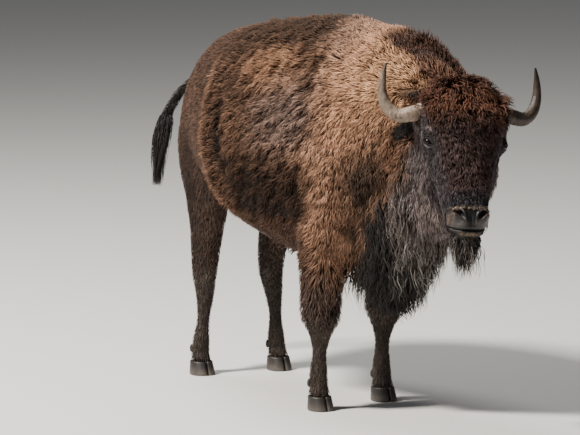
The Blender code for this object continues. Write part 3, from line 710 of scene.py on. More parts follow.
def carried(line, count, sides, shape):
    """Rings carried along a curve of (x, y, z, radius) rows; shape(turn, share) scales the radius."""
    rows = curve_through(line, count)
    centres, radii = rows[:, :3], rows[:, 3]
    ways = unit(np.gradient(centres, axis=0))
    side = np.zeros_like(ways)
    start = np.cross(ways[0], (0.0, 0.0, 1.0))
    for i, way in enumerate(ways):
        start = start - way * (start @ way)
        start = start / np.linalg.norm(start)
        side[i] = start
    up = np.cross(ways, side)
    turn = turns_of(sides)
    radius = radii[:, None] * shape(turn, np.linspace(0, 1, count)[:, None])
    return (centres[:, None] + side[:, None] * (radius * np.cos(turn))[..., None]
            + up[:, None] * (radius * np.sin(turn))[..., None])


def corners_of(mesh):
    """Vertices, triangles and vertex normals of a mesh as arrays."""
    mesh.calc_loop_triangles()
    points, normals = np.empty((2, len(mesh.vertices) * 3), np.float32)
    triangles = np.empty(len(mesh.loop_triangles) * 3, np.int32)
    mesh.vertices.foreach_get("co", points)
    mesh.vertices.foreach_get("normal", normals)
    mesh.loop_triangles.foreach_get("vertices", triangles)
    points, triangles, normals = (rows.reshape(-1, 3) for rows in (points, triangles, normals))
    return points.astype(float), triangles, normals.astype(float)


# ---- materials
def material(name, roughness, specular, coat=0.0):
    """A new material and its shader."""
    made = bpy.data.materials.new(name)
    made.use_nodes = True
    shader = made.node_tree.nodes["Principled BSDF"]
    shader.inputs["Roughness"].default_value = roughness
    shader.inputs["Specular IOR Level"].default_value = specular
    shader.inputs["Coat Weight"].default_value = coat
    return made, shader


def wire(made, source, target):
    made.node_tree.links.new(source, target)


def node(made, kind, **values):
    """A new node, with its settings and the values of its inputs."""
    added = made.node_tree.nodes.new(kind)
    for key, value in values.items():
        if hasattr(added, key):
            setattr(added, key, value)
        else:
            added.inputs[key.replace("_", " ")].default_value = value
    return added


def tinted_material(name):
    """Colour from the tint at each point, broken by a fine grain that is also its bump.

    On skin, horn and hoof the grain has its finish's size in metres, drawn out upwards. On
    hair it follows the strand map, down each lock.
    """
    roughness, specular, size, strength = FINISHES[name]
    made, shader = material(name, roughness, specular)
    tint = node(made, "ShaderNodeAttribute", attribute_name="tint")
    if size is None:
        where = node(made, "ShaderNodeUVMap", uv_map="strand").outputs["UV"]
        grain = node(made, "ShaderNodeTexNoise", Scale=1.0, Detail=2.0, Roughness=0.6)
        span = node(made, "ShaderNodeMapRange", From_Min=0.3, From_Max=0.7, To_Min=0.45, To_Max=1.55)
    else:
        stretch = node(made, "ShaderNodeMapping", Scale=(1.0, 1.0, 0.35))
        wire(made, node(made, "ShaderNodeTexCoord").outputs["Object"], stretch.inputs["Vector"])
        where = stretch.outputs["Vector"]
        grain = node(made, "ShaderNodeTexNoise", Scale=1 / size, Detail=4.0, Roughness=0.6)
        span = node(made, "ShaderNodeMapRange", To_Min=0.55, To_Max=1.35)
    shade = node(made, "ShaderNodeVectorMath", operation="SCALE")
    relief = node(made, "ShaderNodeBump", Strength=strength, Distance=size * 0.5 if size else 0.0012)
    wire(made, where, grain.inputs["Vector"])
    wire(made, grain.outputs["Fac"], span.inputs["Value"])
    wire(made, tint.outputs["Color"], shade.inputs[0])
    wire(made, span.outputs["Result"], shade.inputs["Scale"])
    wire(made, shade.outputs["Vector"], shader.inputs["Base Color"])
    wire(made, grain.outputs["Fac"], relief.inputs["Height"])
    wire(made, relief.outputs["Normal"], shader.inputs["Normal"])
    return made


# ---- skin
def flesh_shape():
    """Points and triangles of all flesh nodes, each grown a little so that neighbours meet."""
    points, faces, count = [], [], 0
    for name in FLESH:
        own, triangles, _ = corners_of(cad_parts[name].data)
        own, index = np.unique(np.round(own, 6), axis=0, return_inverse=True)
        triangles = index.reshape(-1)[triangles]
        corners = own[triangles]
        normals = np.cross(corners[:, 1] - corners[:, 0], corners[:, 2] - corners[:, 0])
        total = np.stack([np.bincount(triangles.ravel(), np.repeat(normals[:, k], 3), len(own))
                          for k in range(3)], -1)
        points.append(own + NODE_GROW * unit(total))
        faces.append(triangles + count)
        count += len(own)
    return np.concatenate(points), np.concatenate(faces)


def relaxed(mesh, passes, share, forward=0.5, backward=-0.52):
    """Moves each vertex towards its neighbours' mean, then a little back, so that volume stays."""
    edges = np.empty(len(mesh.edges) * 2, np.int32)
    mesh.edges.foreach_get("vertices", edges)
    edges = edges.reshape(-1, 2)
    here, there = np.concatenate([edges, edges[:, ::-1]]).T
    points, _, _ = corners_of(mesh)
    count = np.maximum(np.bincount(here, minlength=len(points)), 1)[:, None]
    for _ in range(passes):
        for pull in (forward, backward):
            total = np.stack([np.bincount(here, points[there, k], len(points)) for k in range(3)], -1)
            mean = total / count
            points = points + pull * share[:, None] * (mean - points)
    move_to(mesh, points)


def refine(mesh, wanted):
    """Halves every edge between two wanted vertices."""
    work = bmesh.new()
    work.from_mesh(mesh)
    edges = [e for e in work.edges if wanted[e.verts[0].index] and wanted[e.verts[1].index]]
    bmesh.ops.subdivide_edges(work, edges=edges, cuts=1, use_grid_fill=True)
    work.to_mesh(mesh)
    work.free()
    mesh.update()


def face_parts(points):
    """Where the mesh is made finer, step by step: the head, its eyes and nose, and their edges."""
    front, _, along, wide = to_head(points)
    head = (front > -0.19) & (wide < 0.27) & (along > -0.20) & (along < 0.68)
    eyes = from_eyes(points)
    nose = head & (along > 0.42) & (along < 0.60) & (front > -0.05) & (wide < 0.12)
    face = (eyes < 0.065) | nose
    features = (eyes < 0.038) | (nose & (along > 0.445) & (along < 0.575) & (front > -0.005))
    return head, face, features


def sculpt_flank(points, normals):
    """The fold of skin ahead of the thigh, the hollow before it and the groove behind its top."""
    own = points - SHIFT
    x, _, z = own.T
    ahead = ahead_of_flank(own)
    sides = smooth(0.25, 0.6, np.abs(normals[:, 1]))
    hollow = bump(ahead, 0.090, 0.075) * smooth(0.80, 0.96, z) * fall(1.12, 1.34, z)
    fold = bump(ahead, -0.010, 0.030) * smooth(0.70, 0.80, z) * fall(1.28, 1.40, z)
    groove = bump(x, -0.292, 0.030) * bump(z, 1.265, 0.085)
    return points + normals * (sides * (0.014 * fold - 0.018 * hollow - 0.009 * groove))[:, None]


def nostril_places(wide, along):
    """A measure that is 1 round each nostril's edge, and each point's place along and across it."""
    u, v = wide - NOSTRIL_PLACE[0], along - NOSTRIL_PLACE[1]
    long_way = u * math.cos(NOSTRIL_SLANT) + v * math.sin(NOSTRIL_SLANT)
    bend = -u * math.sin(NOSTRIL_SLANT) + v * math.cos(NOSTRIL_SLANT) - 7.0 * long_way**2
    return np.sqrt((long_way / 0.0265) ** 2 + (bend / 0.0125) ** 2), long_way, bend


def sculpt_face(points, normals):
    """Nostrils, wings, lips and mouth, each a smooth function of the place in the head's frame."""
    front, side, along, wide = to_head(points)
    ahead = smooth(0.0, 0.03, front)
    ring, _, bend = nostril_places(wide, along)
    nostril = fall(0.50, 1.08, ring) * ahead * (1 - 0.55 * smooth(0.0, 0.012, bend))
    wing = bump(ring, 1.36, 0.40) * ahead * (0.55 + 0.45 * (bend < 0))
    lobe = np.exp(-(((wide - 0.035) / 0.022) ** 2) - (((along - 0.512) / 0.013) ** 2)) * ahead
    mouth = below_mouth(front, along)
    open_part = smooth(-0.050, -0.020, front) * smooth(0.40, 0.45, along)
    groove = np.exp(-(mouth / 0.0034) ** 2) * open_part
    upper = np.exp(-(((mouth + 0.012) / 0.008) ** 2)) * open_part
    lower = np.exp(-(((mouth - 0.011) / 0.008) ** 2)) * open_part
    cleft = np.exp(-(side / 0.0045) ** 2) * smooth(0.470, 0.490, along) * fall(-0.003, 0.0, mouth) * ahead
    raised = 0.0045 * wing + 0.0050 * lobe - 0.009 * groove + 0.0020 * upper + 0.003 * lower
    raised = raised - 0.0035 * cleft
    moved = points + normals * raised[:, None]
    inwards = HEAD_TURN @ np.array([-0.9, 0.0, 0.3])
    chin = smooth(0.000, 0.020, mouth) * smooth(-0.12, -0.02, front) * fall(0.62, 0.68, along)
    corner = smooth(0.480, 0.540, along) * fall(0.0, 0.016, mouth) * ahead
    narrowed = -side * (0.33 * chin + 0.22 * corner)
    moved = moved + narrowed[:, None] * HEAD[:3, 1] - (0.008 * chin)[:, None] * HEAD[:3, 0]
    return moved + (0.026 * nostril)[:, None] * inwards


def eye_places(points, side_name):
    """Each point's place at one eye: along its slit, up it and out of the head."""
    side = SIDES[side_name]
    out = unit(HEAD_TURN @ np.array([0.62, side * 0.78, 0.03]))
    slit = HEAD_TURN @ np.array([0.55, -side * 0.435, -0.46])
    slit = unit(slit - out * (slit @ out))
    up = np.cross(out, slit) * side * -1
    up = up * np.sign(up[2])
    offset = points - box_middle(f"eye_{side_name}")
    return offset @ slit, offset @ up, offset @ out, out


def eye_ring(a, b):
    """1 along the edge of the almond between the lids, less inside it."""
    return (a / 0.0260) ** 2 + np.abs(b) / 0.0112


def sculpt_lids(points):
    """Lids that wrap the ball: a soft rise, an almond opening sunk in it, a rolled rim and creases."""
    for side_name in SIDES:
        a, b, c, out = eye_places(points, side_name)
        reach = np.sqrt(a**2 + (b * 1.12) ** 2)
        near = (reach < 0.09) & (c > -0.035)
        ring = eye_ring(a, b)
        lid = (EYE_RADIUS + 0.0022) * np.exp(-((reach / 0.0275) ** 2))
        rim = 0.0018 * bump(ring, 1.20, 0.26) + 0.0022 * bump(ring, 1.95, 0.4) * (b > 0)
        crease = -0.0028 * bump(ring, 1.55, 0.22) * smooth(-0.002, 0.004, b)
        bags = -0.0016 * np.sin((ring - 1.4) * 5.0) * bump(ring, 2.1, 0.8) * (b < 0)
        opening = -0.0110 * fall(0.84, 1.06, ring)
        brow = (0.0070 * bump(b, 0.056, 0.017) * bump(a, -0.004, 0.048)
                - 0.0035 * bump(b, 0.032, 0.018) * bump(a, 0.0, 0.040))
        height = c * smooth(0.016, 0.050, reach) + lid + rim + crease + bags + opening + brow
        change = np.where(near, height - c, 0.0) * fall(0.055, 0.085, reach)
        points = points + change[:, None] * out
    return points


def ear_mesh(side_name):
    """A cupped leaf: flat ovals along the ear's line, their front pressed in, each edge thin."""
    rows = np.array(EAR_LINES[side_name], float)
    rows = curve_through(np.column_stack([ear_line(side_name), rows[:, 3:] * 0.85]), 26)
    ways = unit(np.gradient(rows[:, :3], axis=0))
    face = HEAD_TURN @ np.array([0.85, SIDES[side_name] * 0.5, -0.15])
    out = unit(face - ways * (ways @ face)[:, None])
    across = np.cross(ways, out)
    turn = turns_of(28)
    flat = rows[:, 3:4] * np.cos(turn)
    deep = rows[:, 4:5] * 0.6 * np.sin(turn) + 0.8 * rows[:, 4:5] * (np.cos(turn) ** 2 - 0.4)
    return grid_mesh(f"ear_{side_name}_shape", rows[:, None, :3] + across[:, None] * flat[..., None]
                     + out[:, None] * deep[..., None])


def skin_mesh():
    """One skin from the flesh: joined by voxels, eased, sunk by the coat's depth and sculpted."""
    points, faces = flesh_shape()
    mesh = array_mesh("flesh", points, faces.ravel(), np.full(len(faces), 3))
    body = bpy.data.objects.new("flesh", mesh)
    bpy.context.scene.collection.objects.link(body)
    remesh = body.modifiers.new("join", "REMESH")
    remesh.mode = "VOXEL"
    remesh.voxel_size = SKIN_VOXEL
    graph = bpy.context.evaluated_depsgraph_get()
    mesh = bpy.data.meshes.new_from_object(body.evaluated_get(graph))
    bpy.data.objects.remove(body)
    points, _, _ = corners_of(mesh)
    x, _, z = (points - SHIFT).T
    head = face_parts(points)[0]
    # The facets of the joined solids are eased away, less on the head and the slim parts.
    slim = (z < 0.60) | (x < -0.87)
    relaxed(mesh, 26, np.where(slim | head, 0.25, 1.0))
    nape = smooth(0.46, 0.56, x) * fall(0.78, 0.88, x) * smooth(1.22, 1.34, z)
    relaxed(mesh, 40, nape * ~head, 0.6, -0.45)
    # The head is refined once, and its eyes and nose once or twice more.
    for step, passes in enumerate((3, 3, 2)):
        refine(mesh, face_parts(corners_of(mesh)[0])[step])
        relaxed(mesh, passes, face_parts(corners_of(mesh)[0])[step] * 1.0)
    points, _, normals = corners_of(mesh)
    move_to(mesh, points - normals * coat_depth(points, zone_shares(points))[:, None])
    features = face_parts(corners_of(mesh)[0])[2]
    relaxed(mesh, 3, np.where(features, 0.2, 1.0), 0.5, -0.1)
    points, _, normals = corners_of(mesh)
    move_to(mesh, sculpt_lids(sculpt_face(sculpt_flank(points, normals), normals)))
    work = bmesh.new()
    work.from_mesh(mesh)
    for side_name in SIDES:
        work.from_mesh(ear_mesh(side_name))
    bmesh.ops.triangulate(work, faces=work.faces)
    whole = bpy.data.meshes.new("skin")
    work.to_mesh(whole)
    work.free()
    whole.polygons.foreach_set("use_smooth", np.ones(len(whole.polygons), bool))
    whole.update()
    return whole


# ---- hair
def tuft_path(roots, count):
    """Stations down each tuft, from its root, as an array [tuft, station, xyz].

    The hair sets out along its lie and bends to the vertical by its droop. It rises from
    the skin to its lift and settles near the tip, sways to the side in a wave, and its tip
    is drawn towards the middle of its clump.
    """
    share = np.linspace(0, 1, count + 1)[None, :, None]
    droop, length, turns, phase, wave, lift = (
        roots[key][:, None, None] for key in ("droop", "length", "turns", "phase", "wave", "lift"))
    normal = roots["normal"][:, None]
    across = np.cross(roots["normal"], roots["way"])[:, None]
    gravity = droop * smooth(0, 0.5, share)
    way = unit(roots["way"][:, None] * (1 - gravity) + np.array([0, 0, -1.0]) * gravity)
    step = length / count
    path = np.cumsum(way * step, axis=1) - way * step
    rise = 1.28 * (1 - (1 - share) ** 2.2) * (1 - 0.25 * share)
    swing = 2 * math.pi * (turns * share + phase)
    start = 2 * math.pi * phase
    wave = wave * share**0.6
    path = path + normal * (rise * lift - ROOT_SINK * (1 - share) ** 4)
    path = path + across * wave * (np.sin(swing) - np.sin(start))
    path = path + normal * wave * 0.5 * (np.cos(swing) - np.cos(start))
    path = path + roots["pull"][:, None] * share**1.6
    return roots["place"][:, None] + path


def tuft_mesh(name, path, normal, width, tint, spot):
    """Closed three-sided locks along the paths: broad from the root, drawn to a point at the tip.

    The OFBake map gives each lock a patch at its root's spot on the skin's unwrap, and the
    strand map runs its fine hairs from root to tip.
    """
    tufts, stations = path.shape[:2]
    rings = stations - 1
    share = np.linspace(0, 1, stations)
    way = unit(np.gradient(path, axis=1))
    across = unit(np.cross(np.broadcast_to(normal[:, None], way.shape), way))
    up = np.cross(way, across)
    half = 0.5 * width[:, None] * ((0.85 + 0.65 * share) * (1 - share**1.6))[None]
    half = half[:, :rings, None]
    left = path[:, :rings] - across[:, :rings] * half
    right = path[:, :rings] + across[:, :rings] * half
    top = path[:, :rings] + up[:, :rings] * half * 0.6
    ring = np.stack([left, right, top], 2).reshape(tufts, rings * 3, 3)
    points = np.concatenate([ring, path[:, -1:]], 1)
    loops, counts, patch = [], [], []
    for k in range(rings - 1):
        for j in range(3):
            n = (j + 1) % 3
            loops += [3 * k + j, 3 * k + n, 3 * k + 3 + n, 3 * k + 3 + j]
            patch += [(j / 3, share[k]), ((j + 1) / 3, share[k]),
                      ((j + 1) / 3, share[k + 1]), (j / 3, share[k + 1])]
            counts.append(4)
    last = 3 * (rings - 1)
    for j in range(3):
        loops += [last + j, last + (j + 1) % 3, 3 * rings]
        patch += [(j / 3, share[rings - 1]), ((j + 1) / 3, share[rings - 1]), ((j + 0.5) / 3, 1.0)]
        counts.append(3)
    loops += [2, 1, 0]
    patch += [(1.0, 0.02), (0.5, 0.0), (0.0, 0.02)]
    counts.append(3)
    size = 3 * rings + 1
    all_loops = (np.array(loops)[None] + np.arange(tufts)[:, None] * size).ravel()
    mesh = array_mesh(name, points.reshape(-1, 3), all_loops, np.tile(counts, tufts))
    patch = np.array(patch)
    bake = mesh.uv_layers.new(name="OFBake")
    places = spot[:, None] + (patch[None] - 0.5) * PATCH
    bake.data.foreach_set("uv", places.astype(np.float32).ravel())
    strand = mesh.uv_layers.new(name="strand")
    length = np.linalg.norm(path[:, -1] - path[:, 0], axis=1)
    scale = np.stack([width * 2.2 / STRAND[0], length / STRAND[1]], -1)[:, None]
    offset = (np.arange(tufts) % 97)[:, None, None] * np.array([7.13, 3.31])
    strand.data.foreach_set("uv", (patch[None] * scale + offset).astype(np.float32).ravel())
    mesh.uv_layers.active = bake
    # Painted shade: each lock darkens towards its root, deep in the coat, and lightens a little at its tip.
    fade = np.append(np.repeat(share[:rings], 3), 1.0)
    shade = 0.24 + 0.80 * smooth(0.0, 0.55, fade) + 0.24 * smooth(0.6, 1.0, fade)
    paint(mesh, (tint[:, None] * shade[None, :, None]).reshape(-1, 3))
    return mesh


def unit_square(u, v):
    """The two coordinates, stretched together to lie just inside the unit square."""
    both = np.stack([u, v], -1)
    low, high = both.min(0), both.max(0)
    return 0.01 + 0.98 * (both - low) / (high - low)


def unwrapped(points, kind):
    """An unwrap of the skin: the trunk about its middle line, a leg or the head about its own."""
    own = points - SHIFT
    if kind == "trunk":
        off = own[:, 1] - middle_line(own)
        return unit_square(own[:, 0], np.arctan2(off, own[:, 2] - 1.0))
    if kind == "head":
        front, side, along, _ = to_head(points)
        return unit_square(along, np.arctan2(side, front + 0.03))
    right = own[:, 1] < 0
    middle = np.where(own[:, 0] > 0, 0.43 - 0.09 * ~right, -0.60 + 0.04 * ~right)
    turn = np.arctan2(np.abs(own[:, 1]) - 0.165, own[:, 0] - middle)
    return unit_square(turn + 8.0 * right, own[:, 2])


def scattered_roots(skin, density, rng):
    """Roots spread over the skin, each at a random place in its face.

    Their faces are found by even steps along the running sum of area times density.
    """
    points, triangles, normals = corners_of(skin)
    corners = points[triangles]
    one, two = corners[:, 1] - corners[:, 0], corners[:, 2] - corners[:, 0]
    weight = np.cumsum(0.5 * np.linalg.norm(np.cross(one, two), axis=1) * density[triangles].mean(1))
    count = int(weight[-1])
    picks = (np.arange(count) + rng.random(count)) / count * weight[-1]
    face = np.minimum(np.searchsorted(weight, picks), len(triangles) - 1)
    a, b = np.sqrt(rng.random(count)), rng.random(count)
    corner = np.stack([1 - a, a * (1 - b), a * b], -1)[..., None]
    place = (corners[face] * corner).sum(1)
    normal = unit((normals[triangles[face]] * corner).sum(1))
    return place, normal


def bare_parts(points):
    """0 where no hair grows: the eyes and their rims, the nose leather, the mouth and the horns."""
    front, _, along, wide = to_head(points)
    bare = np.zeros(len(points))
    for side_name in SIDES:
        a, b, c, _ = eye_places(points, side_name)
        bare = np.maximum(bare, fall(1.40, 1.9, eye_ring(a, b)) * (c > -0.03))
    pad = smooth(0.454, 0.462, along) * fall(0.066, 0.078, wide) * smooth(0.0, 0.03, front)
    mouth = below_mouth(front, along)
    pad = pad * fall(0.000, 0.006, mouth)
    lips = bump(mouth, 0.0, 0.008) * smooth(-0.05, -0.02, front) * smooth(0.40, 0.45, along)
    horns = np.zeros(len(points))
    for side in SIDES.values():
        middle = on_head([np.array(HORN_LINE[0][:3]) * (1, side, 1)])
        horns = np.maximum(horns, fall(0.028, 0.036, np.linalg.norm(points - middle, axis=1)))
    return 1 - np.clip(bare + pad + lips + horns, 0, 1)


def bare_tint(points, tint, bare):
    """The bare skin's colour: dark leather, lighter nostril floors, painted highlights on the lobes,
    nostril rims and lower lids, and painted shade in the mouth and eye openings.
    """
    front, _, along, wide = to_head(points)
    ring, long_way, bend = nostril_places(wide, along)
    pad = bare * smooth(0.42, 0.44, along) * smooth(0.0, 0.03, front)
    spots = 0.5 + 0.5 * smooth(-0.5, 0.5, noise(points, 0.006, 71))
    lobe = np.exp(-(((wide - 0.035) / 0.020) ** 2) - (((along - 0.512) / 0.013) ** 2))
    upper = smooth(0.001, -0.004, bend) * bump(long_way, 0.002, 0.022)
    mouth = bump(below_mouth(front, along), 0.001, 0.006)
    marks = [
        ("leather", bare),
        # Painted highlight on the lobe below each nostril.
        ("lobe highlight", 1.2 * lobe * pad * spots),
        ("nostril floor", smooth(0.0, 0.006, bend) * fall(0.8, 1.1, ring) * pad),
        # Painted highlights along each nostril's rim, strongest on its upper edge.
        ("nostril rim highlight", 0.9 * bump(ring, 1.22, 0.20) * upper * pad),
        ("nostril rim highlight", 0.22 * bump(ring, 1.18, 0.18) * (bend > 0) * spots * pad),
        ("nose wing", 0.6 * bump(wide, 0.072, 0.016) * bump(along, 0.492, 0.036) * pad * spots),
        # Painted shade in the groove of the mouth.
        ("mouth", mouth * smooth(-0.03, 0.0, front) * smooth(0.42, 0.44, along)),
    ]
    for side_name in SIDES:
        a, b, c, _ = eye_places(points, side_name)
        near = (np.abs(c) < 0.04) * (along < 0.3)
        marks += [
            # Painted shade in the sunk opening round each eyeball.
            ("mouth", fall(1.0, 1.25, eye_ring(a, b)) * near),
            # Painted glint along the lower lid.
            ("lower lid glint", 0.8 * bump(b, -0.0165, 0.0035) * bump(a, 0.006, 0.019) * near),
        ]
    return marked(tint, marks)


PIECES = {
    # name: (zones, side, kind of unwrap, rings in each tuft, slot, replaced nodes)
    "coat_rump_left": (("rump", "thigh", "dock"), 1, "trunk", 2, "coat_rump", ("rump", "tail")),
    "coat_rump_right": (("rump", "thigh", "dock"), -1, "trunk", 2, "coat_rump", ("rump", "tail")),
    "coat_side_left": (("barrel",), 1, "trunk", 2, "coat_barrel", ("trunk",)),
    "coat_side_right": (("barrel",), -1, "trunk", 2, "coat_barrel", ("trunk",)),
    "coat_belly": (("belly",), 0, "trunk", 3, "coat_barrel", ("trunk",)),
    "coat_mantle_left": (("mantle", "crest"), 1, "trunk", 2, "coat_shoulder", ("shoulders", "neck")),
    "coat_mantle_right": (("mantle", "crest"), -1, "trunk", 2, "coat_shoulder", ("shoulders", "neck")),
    "coat_mane": (("throat",), 0, "trunk", 6, "mane_hair", ("throat_mane",)),
    "coat_mop": (("mop", "forehead"), 0, "head", 4, "coat_head", ("head",)),
    "coat_face": (("face", "muzzle"), 0, "head", 2, "coat_head", ("head", "muzzle", "lower_jaw")),
    "coat_jowls": (("jowl",), 0, "head", 3, "coat_head", ("head",)),
    "coat_ears": (("ear",), 0, "head", 3, "ear_hair", ("ear_left", "ear_right")),
    "beard_hair": (("chin",), 0, "head", 7, "beard_hair", ("beard",)),
    "coat_chaps": (("chaps",), 0, "legs", 3, "leg_hair", ("foreleg_left", "foreleg_right")),
    "coat_shins": (("shin",), 0, "legs", 2, "lower_leg_hair",
                   ("fore_cannon_left", "fore_cannon_right", "hind_cannon_left", "hind_cannon_right",
                    "hindleg_left", "hindleg_right")),
}


def grow_coat(skin, colours, fullness):
    """The coat's pieces: tufts rooted in the skin, each with a length, lift, wave and tint of its own."""
    rng = np.random.default_rng(COAT_SEED)
    points, _, _ = corners_of(skin)
    density = zone_value(zone_shares(points), "density") * bare_parts(points) * fullness
    place_at, normal = scattered_roots(skin, density, rng)
    shares = zone_shares(place_at)
    share = functools.partial(share_of, shares)
    value = functools.partial(zone_value, shares)
    count = len(place_at)
    own = place_at - SHIFT
    x, y, z = own.T
    clump, number = clump_middles(place_at, value("clump"), 53)
    barrel = share("barrel") + 0.3 * share("mantle")
    sunk = bump(ahead_of_flank(own), 0.105, 0.080) * smooth(0.80, 0.96, z) * fall(1.12, 1.34, z)
    relief = 1 + 0.75 * ripples(own) * barrel - 0.45 * sunk * barrel
    relief -= (0.30 + 0.28 * smooth(0.34, 0.46, x)) * fall(0.05, 0.14, below_top(own)) * (x < 0.66)
    loose = 0.38 - 0.26 * share("rump", "thigh", "shin", "dock", "chin")
    roots = {
        "place": place_at,
        "normal": normal,
        "way": astray(lie(place_at, normal, shares), normal, loose * (2 * rng.random(count) - 1)),
        "length": value("length") * (0.75 + 0.35 * rng.random(count) + 0.25 * number),
        "lift": coat_depth(place_at, shares) * (0.60 + 0.26 * rng.random(count) + 0.28 * number) * relief,
        "wave": value("wave") * (0.6 + 0.8 * rng.random(count)),
        "turns": value("turns") * (0.8 + 0.4 * rng.random(count)),
        "phase": number + 0.22 * rng.random(count),
        "droop": value("droop"),
    }
    reach = clump - place_at - roots["way"] * (0.15 * roots["length"])[:, None]
    reach -= normal * (reach * normal).sum(1, keepdims=True)
    roots["pull"] = reach * value("pull")[:, None]
    front, _, along, _ = to_head(place_at)
    chin, throat, face = share("chin"), share("throat"), share("face")
    length = roots["length"]
    length *= 0.45 + 0.55 * smooth(0.025, 0.06, from_eyes(place_at))
    length *= 1 - 0.45 * sunk * barrel
    length *= 1 - 0.75 * chin * fall(0.020, 0.055, below_mouth(front, along))
    length *= 1 - (throat + chin) * (0.55 - 0.75 * rng.random(count) ** 1.5)
    room = (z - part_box("throat_mane")[0][2]) * (0.55 + 0.5 * rng.random(count)) + 0.02
    length *= 1 + 0.8 * brisket(own) * fall(0.58, 0.64, x)
    length *= 1 - throat * (1 - np.clip(room / length, 0.25, 1))
    length *= 1 + 0.9 * share("shin") * fall(0.085, 0.115, z)
    width = value("width") * (0.75 + 0.5 * rng.random(count))
    tint = markings(place_at, shares, colours)
    lit = 0.42 - 0.16 * face + (0.46 + 0.36 * face) * number + 0.85 * rng.random(count) ** 2
    tint = tint * lit[:, None]
    greying = chin + throat + share("face", "jowl") - 0.6 * face - 0.9 * throat * fall(0.72, 0.80, x)
    pale = (rng.random(count) < 0.12) * greying
    tint = tint + pale[:, None] * (0.60 * np.array(MARKS["grey strands"]) - 0.5 * tint)
    strongest = np.array(ZONE_NAMES)[shares.argmax(1)]
    side = np.where(y > middle_line(own), 1, -1)
    coats = {}
    for name, (zones, wanted, kind, rings, *_) in PIECES.items():
        keep = np.isin(strongest, zones) & ((side == wanted) | (wanted == 0))
        part = {key: kept[keep] for key, kept in roots.items()}
        path = tuft_path(part, rings)
        spot = unwrapped(part["place"], kind)
        coats[name] = tuft_mesh(name, path, part["normal"], width[keep], tint[keep], spot)
    return coats


def tail_locks(line, count, tint):
    """Locks hung along the (x, y, z, radius) rows of the tail's tuft.

    Each starts at a random place on the line's round section, high on it, and is drawn
    towards one of a few loose strands that sway down the line.
    """
    rng = np.random.default_rng(TAIL_SEED)
    rows = curve_through(line, TAIL_RINGS * 4 + 1)
    turn = 2 * math.pi * rng.random(count)
    far = np.sqrt(rng.random(count))
    start = rng.random(count) ** 1.6 * 0.45
    end = np.minimum(start + 0.38 + 0.75 * rng.random(count) ** 1.4, 1.0)
    share = start[:, None] + (end - start)[:, None] * np.linspace(0, 1, TAIL_RINGS + 1)[None]
    at = share * (len(rows) - 1)
    stations = [np.interp(at, np.arange(len(rows)), column) for column in rows.T]
    ways = unit(np.gradient(rows[:, :3], axis=0))
    side = unit(np.cross(ways, (0.31, 0.77, 0.12)))
    up = np.cross(ways, side)
    index = at.astype(int)
    strand = rng.integers(0, TAIL_STRANDS, count)
    strand_turn = 2.4 * strand
    strand_far = 0.35 + 0.5 * ((strand * 0.618) % 1)
    gathered = smooth(0.35, 0.95, share)
    across, along = ((far * wave(turn))[:, None] * (1 - 0.6 * gathered)
                     + (strand_far * wave(strand_turn))[:, None] * gathered for wave in (np.cos, np.sin))
    phase = 1.1 * share + 0.15 * strand[:, None] + 0.2 * rng.random(count)[:, None]
    sway = 0.34 * np.sin(2 * math.pi * phase)
    radius = np.maximum(stations[3], 0.013 + 0.013 * share)[..., None] * 0.90
    path = (np.stack(stations[:3], -1) + side[index] * radius * (across + sway)[..., None]
            + up[index] * radius * (along - 0.6 * sway)[..., None])
    shade = (0.50 + 1.3 * rng.random(count) ** 2)[:, None] * np.array(tint)
    spot = unit_square(turn, start + 0.001 * far)
    out = side[index[:, 0]] * np.cos(turn)[:, None] + up[index[:, 0]] * np.sin(turn)[:, None]
    width = TAIL_LOCK_WIDTH * (0.7 + 0.6 * rng.random(count))
    return tuft_mesh("tail_hair", path, out, width, shade, spot)


# ---- horns, eyes and hooves
def horn_mesh(side, ridges):
    """A round profile down the horn's line, ringed near the skull, and each vertex's share of it."""
    rows = np.array(HORN_LINE, float)
    line = np.column_stack([on_head(rows[:, :3] * (1, side, 1)), rows[:, 3]])

    def shape(turn, share):
        uneven = 1.6 * np.sin(turn + 7 * share)
        rings = np.sin(share * 2 * math.pi * HORN_RIDGES + uneven + 2.5 * np.sin(9 * share))
        flutes = 0.018 * np.sin(turn * 5 + 9 * share) * fall(0.3, 0.8, share)
        return 1 + ridges * (rings * fall(0.15, 0.60, share)) + flutes + 0.16 * fall(0.0, 0.10, share)

    mesh = grid_mesh("horn", carried(line, HORN_STATIONS, HORN_SIDES, shape))
    return mesh, np.append(np.repeat(np.linspace(0, 1, HORN_STATIONS), HORN_SIDES), (0.0, 1.0))


def horn_tint(mesh, share, base, middle, tip):
    """Pale worn base, grey middle and near-black tip, with streaks along the horn."""
    points, _, _ = corners_of(mesh)
    colour = np.array(middle) + (np.array(base) - middle) * fall(0.05, 0.50, share)[:, None]
    colour = colour + (np.array(tip) - colour) * (smooth(0.80, 0.97, share) * 0.8)[:, None]
    worn = 1 + 0.40 * layered(points, 0.03, 61) + 0.40 * noise(points * np.array([1, 1, 0.4]), 0.007, 67)
    worn = worn * (1 - 0.55 * smooth(0.25, 0.60, layered(points, 0.013, 79)) * fall(0.35, 0.75, share))
    return colour * worn[:, None]


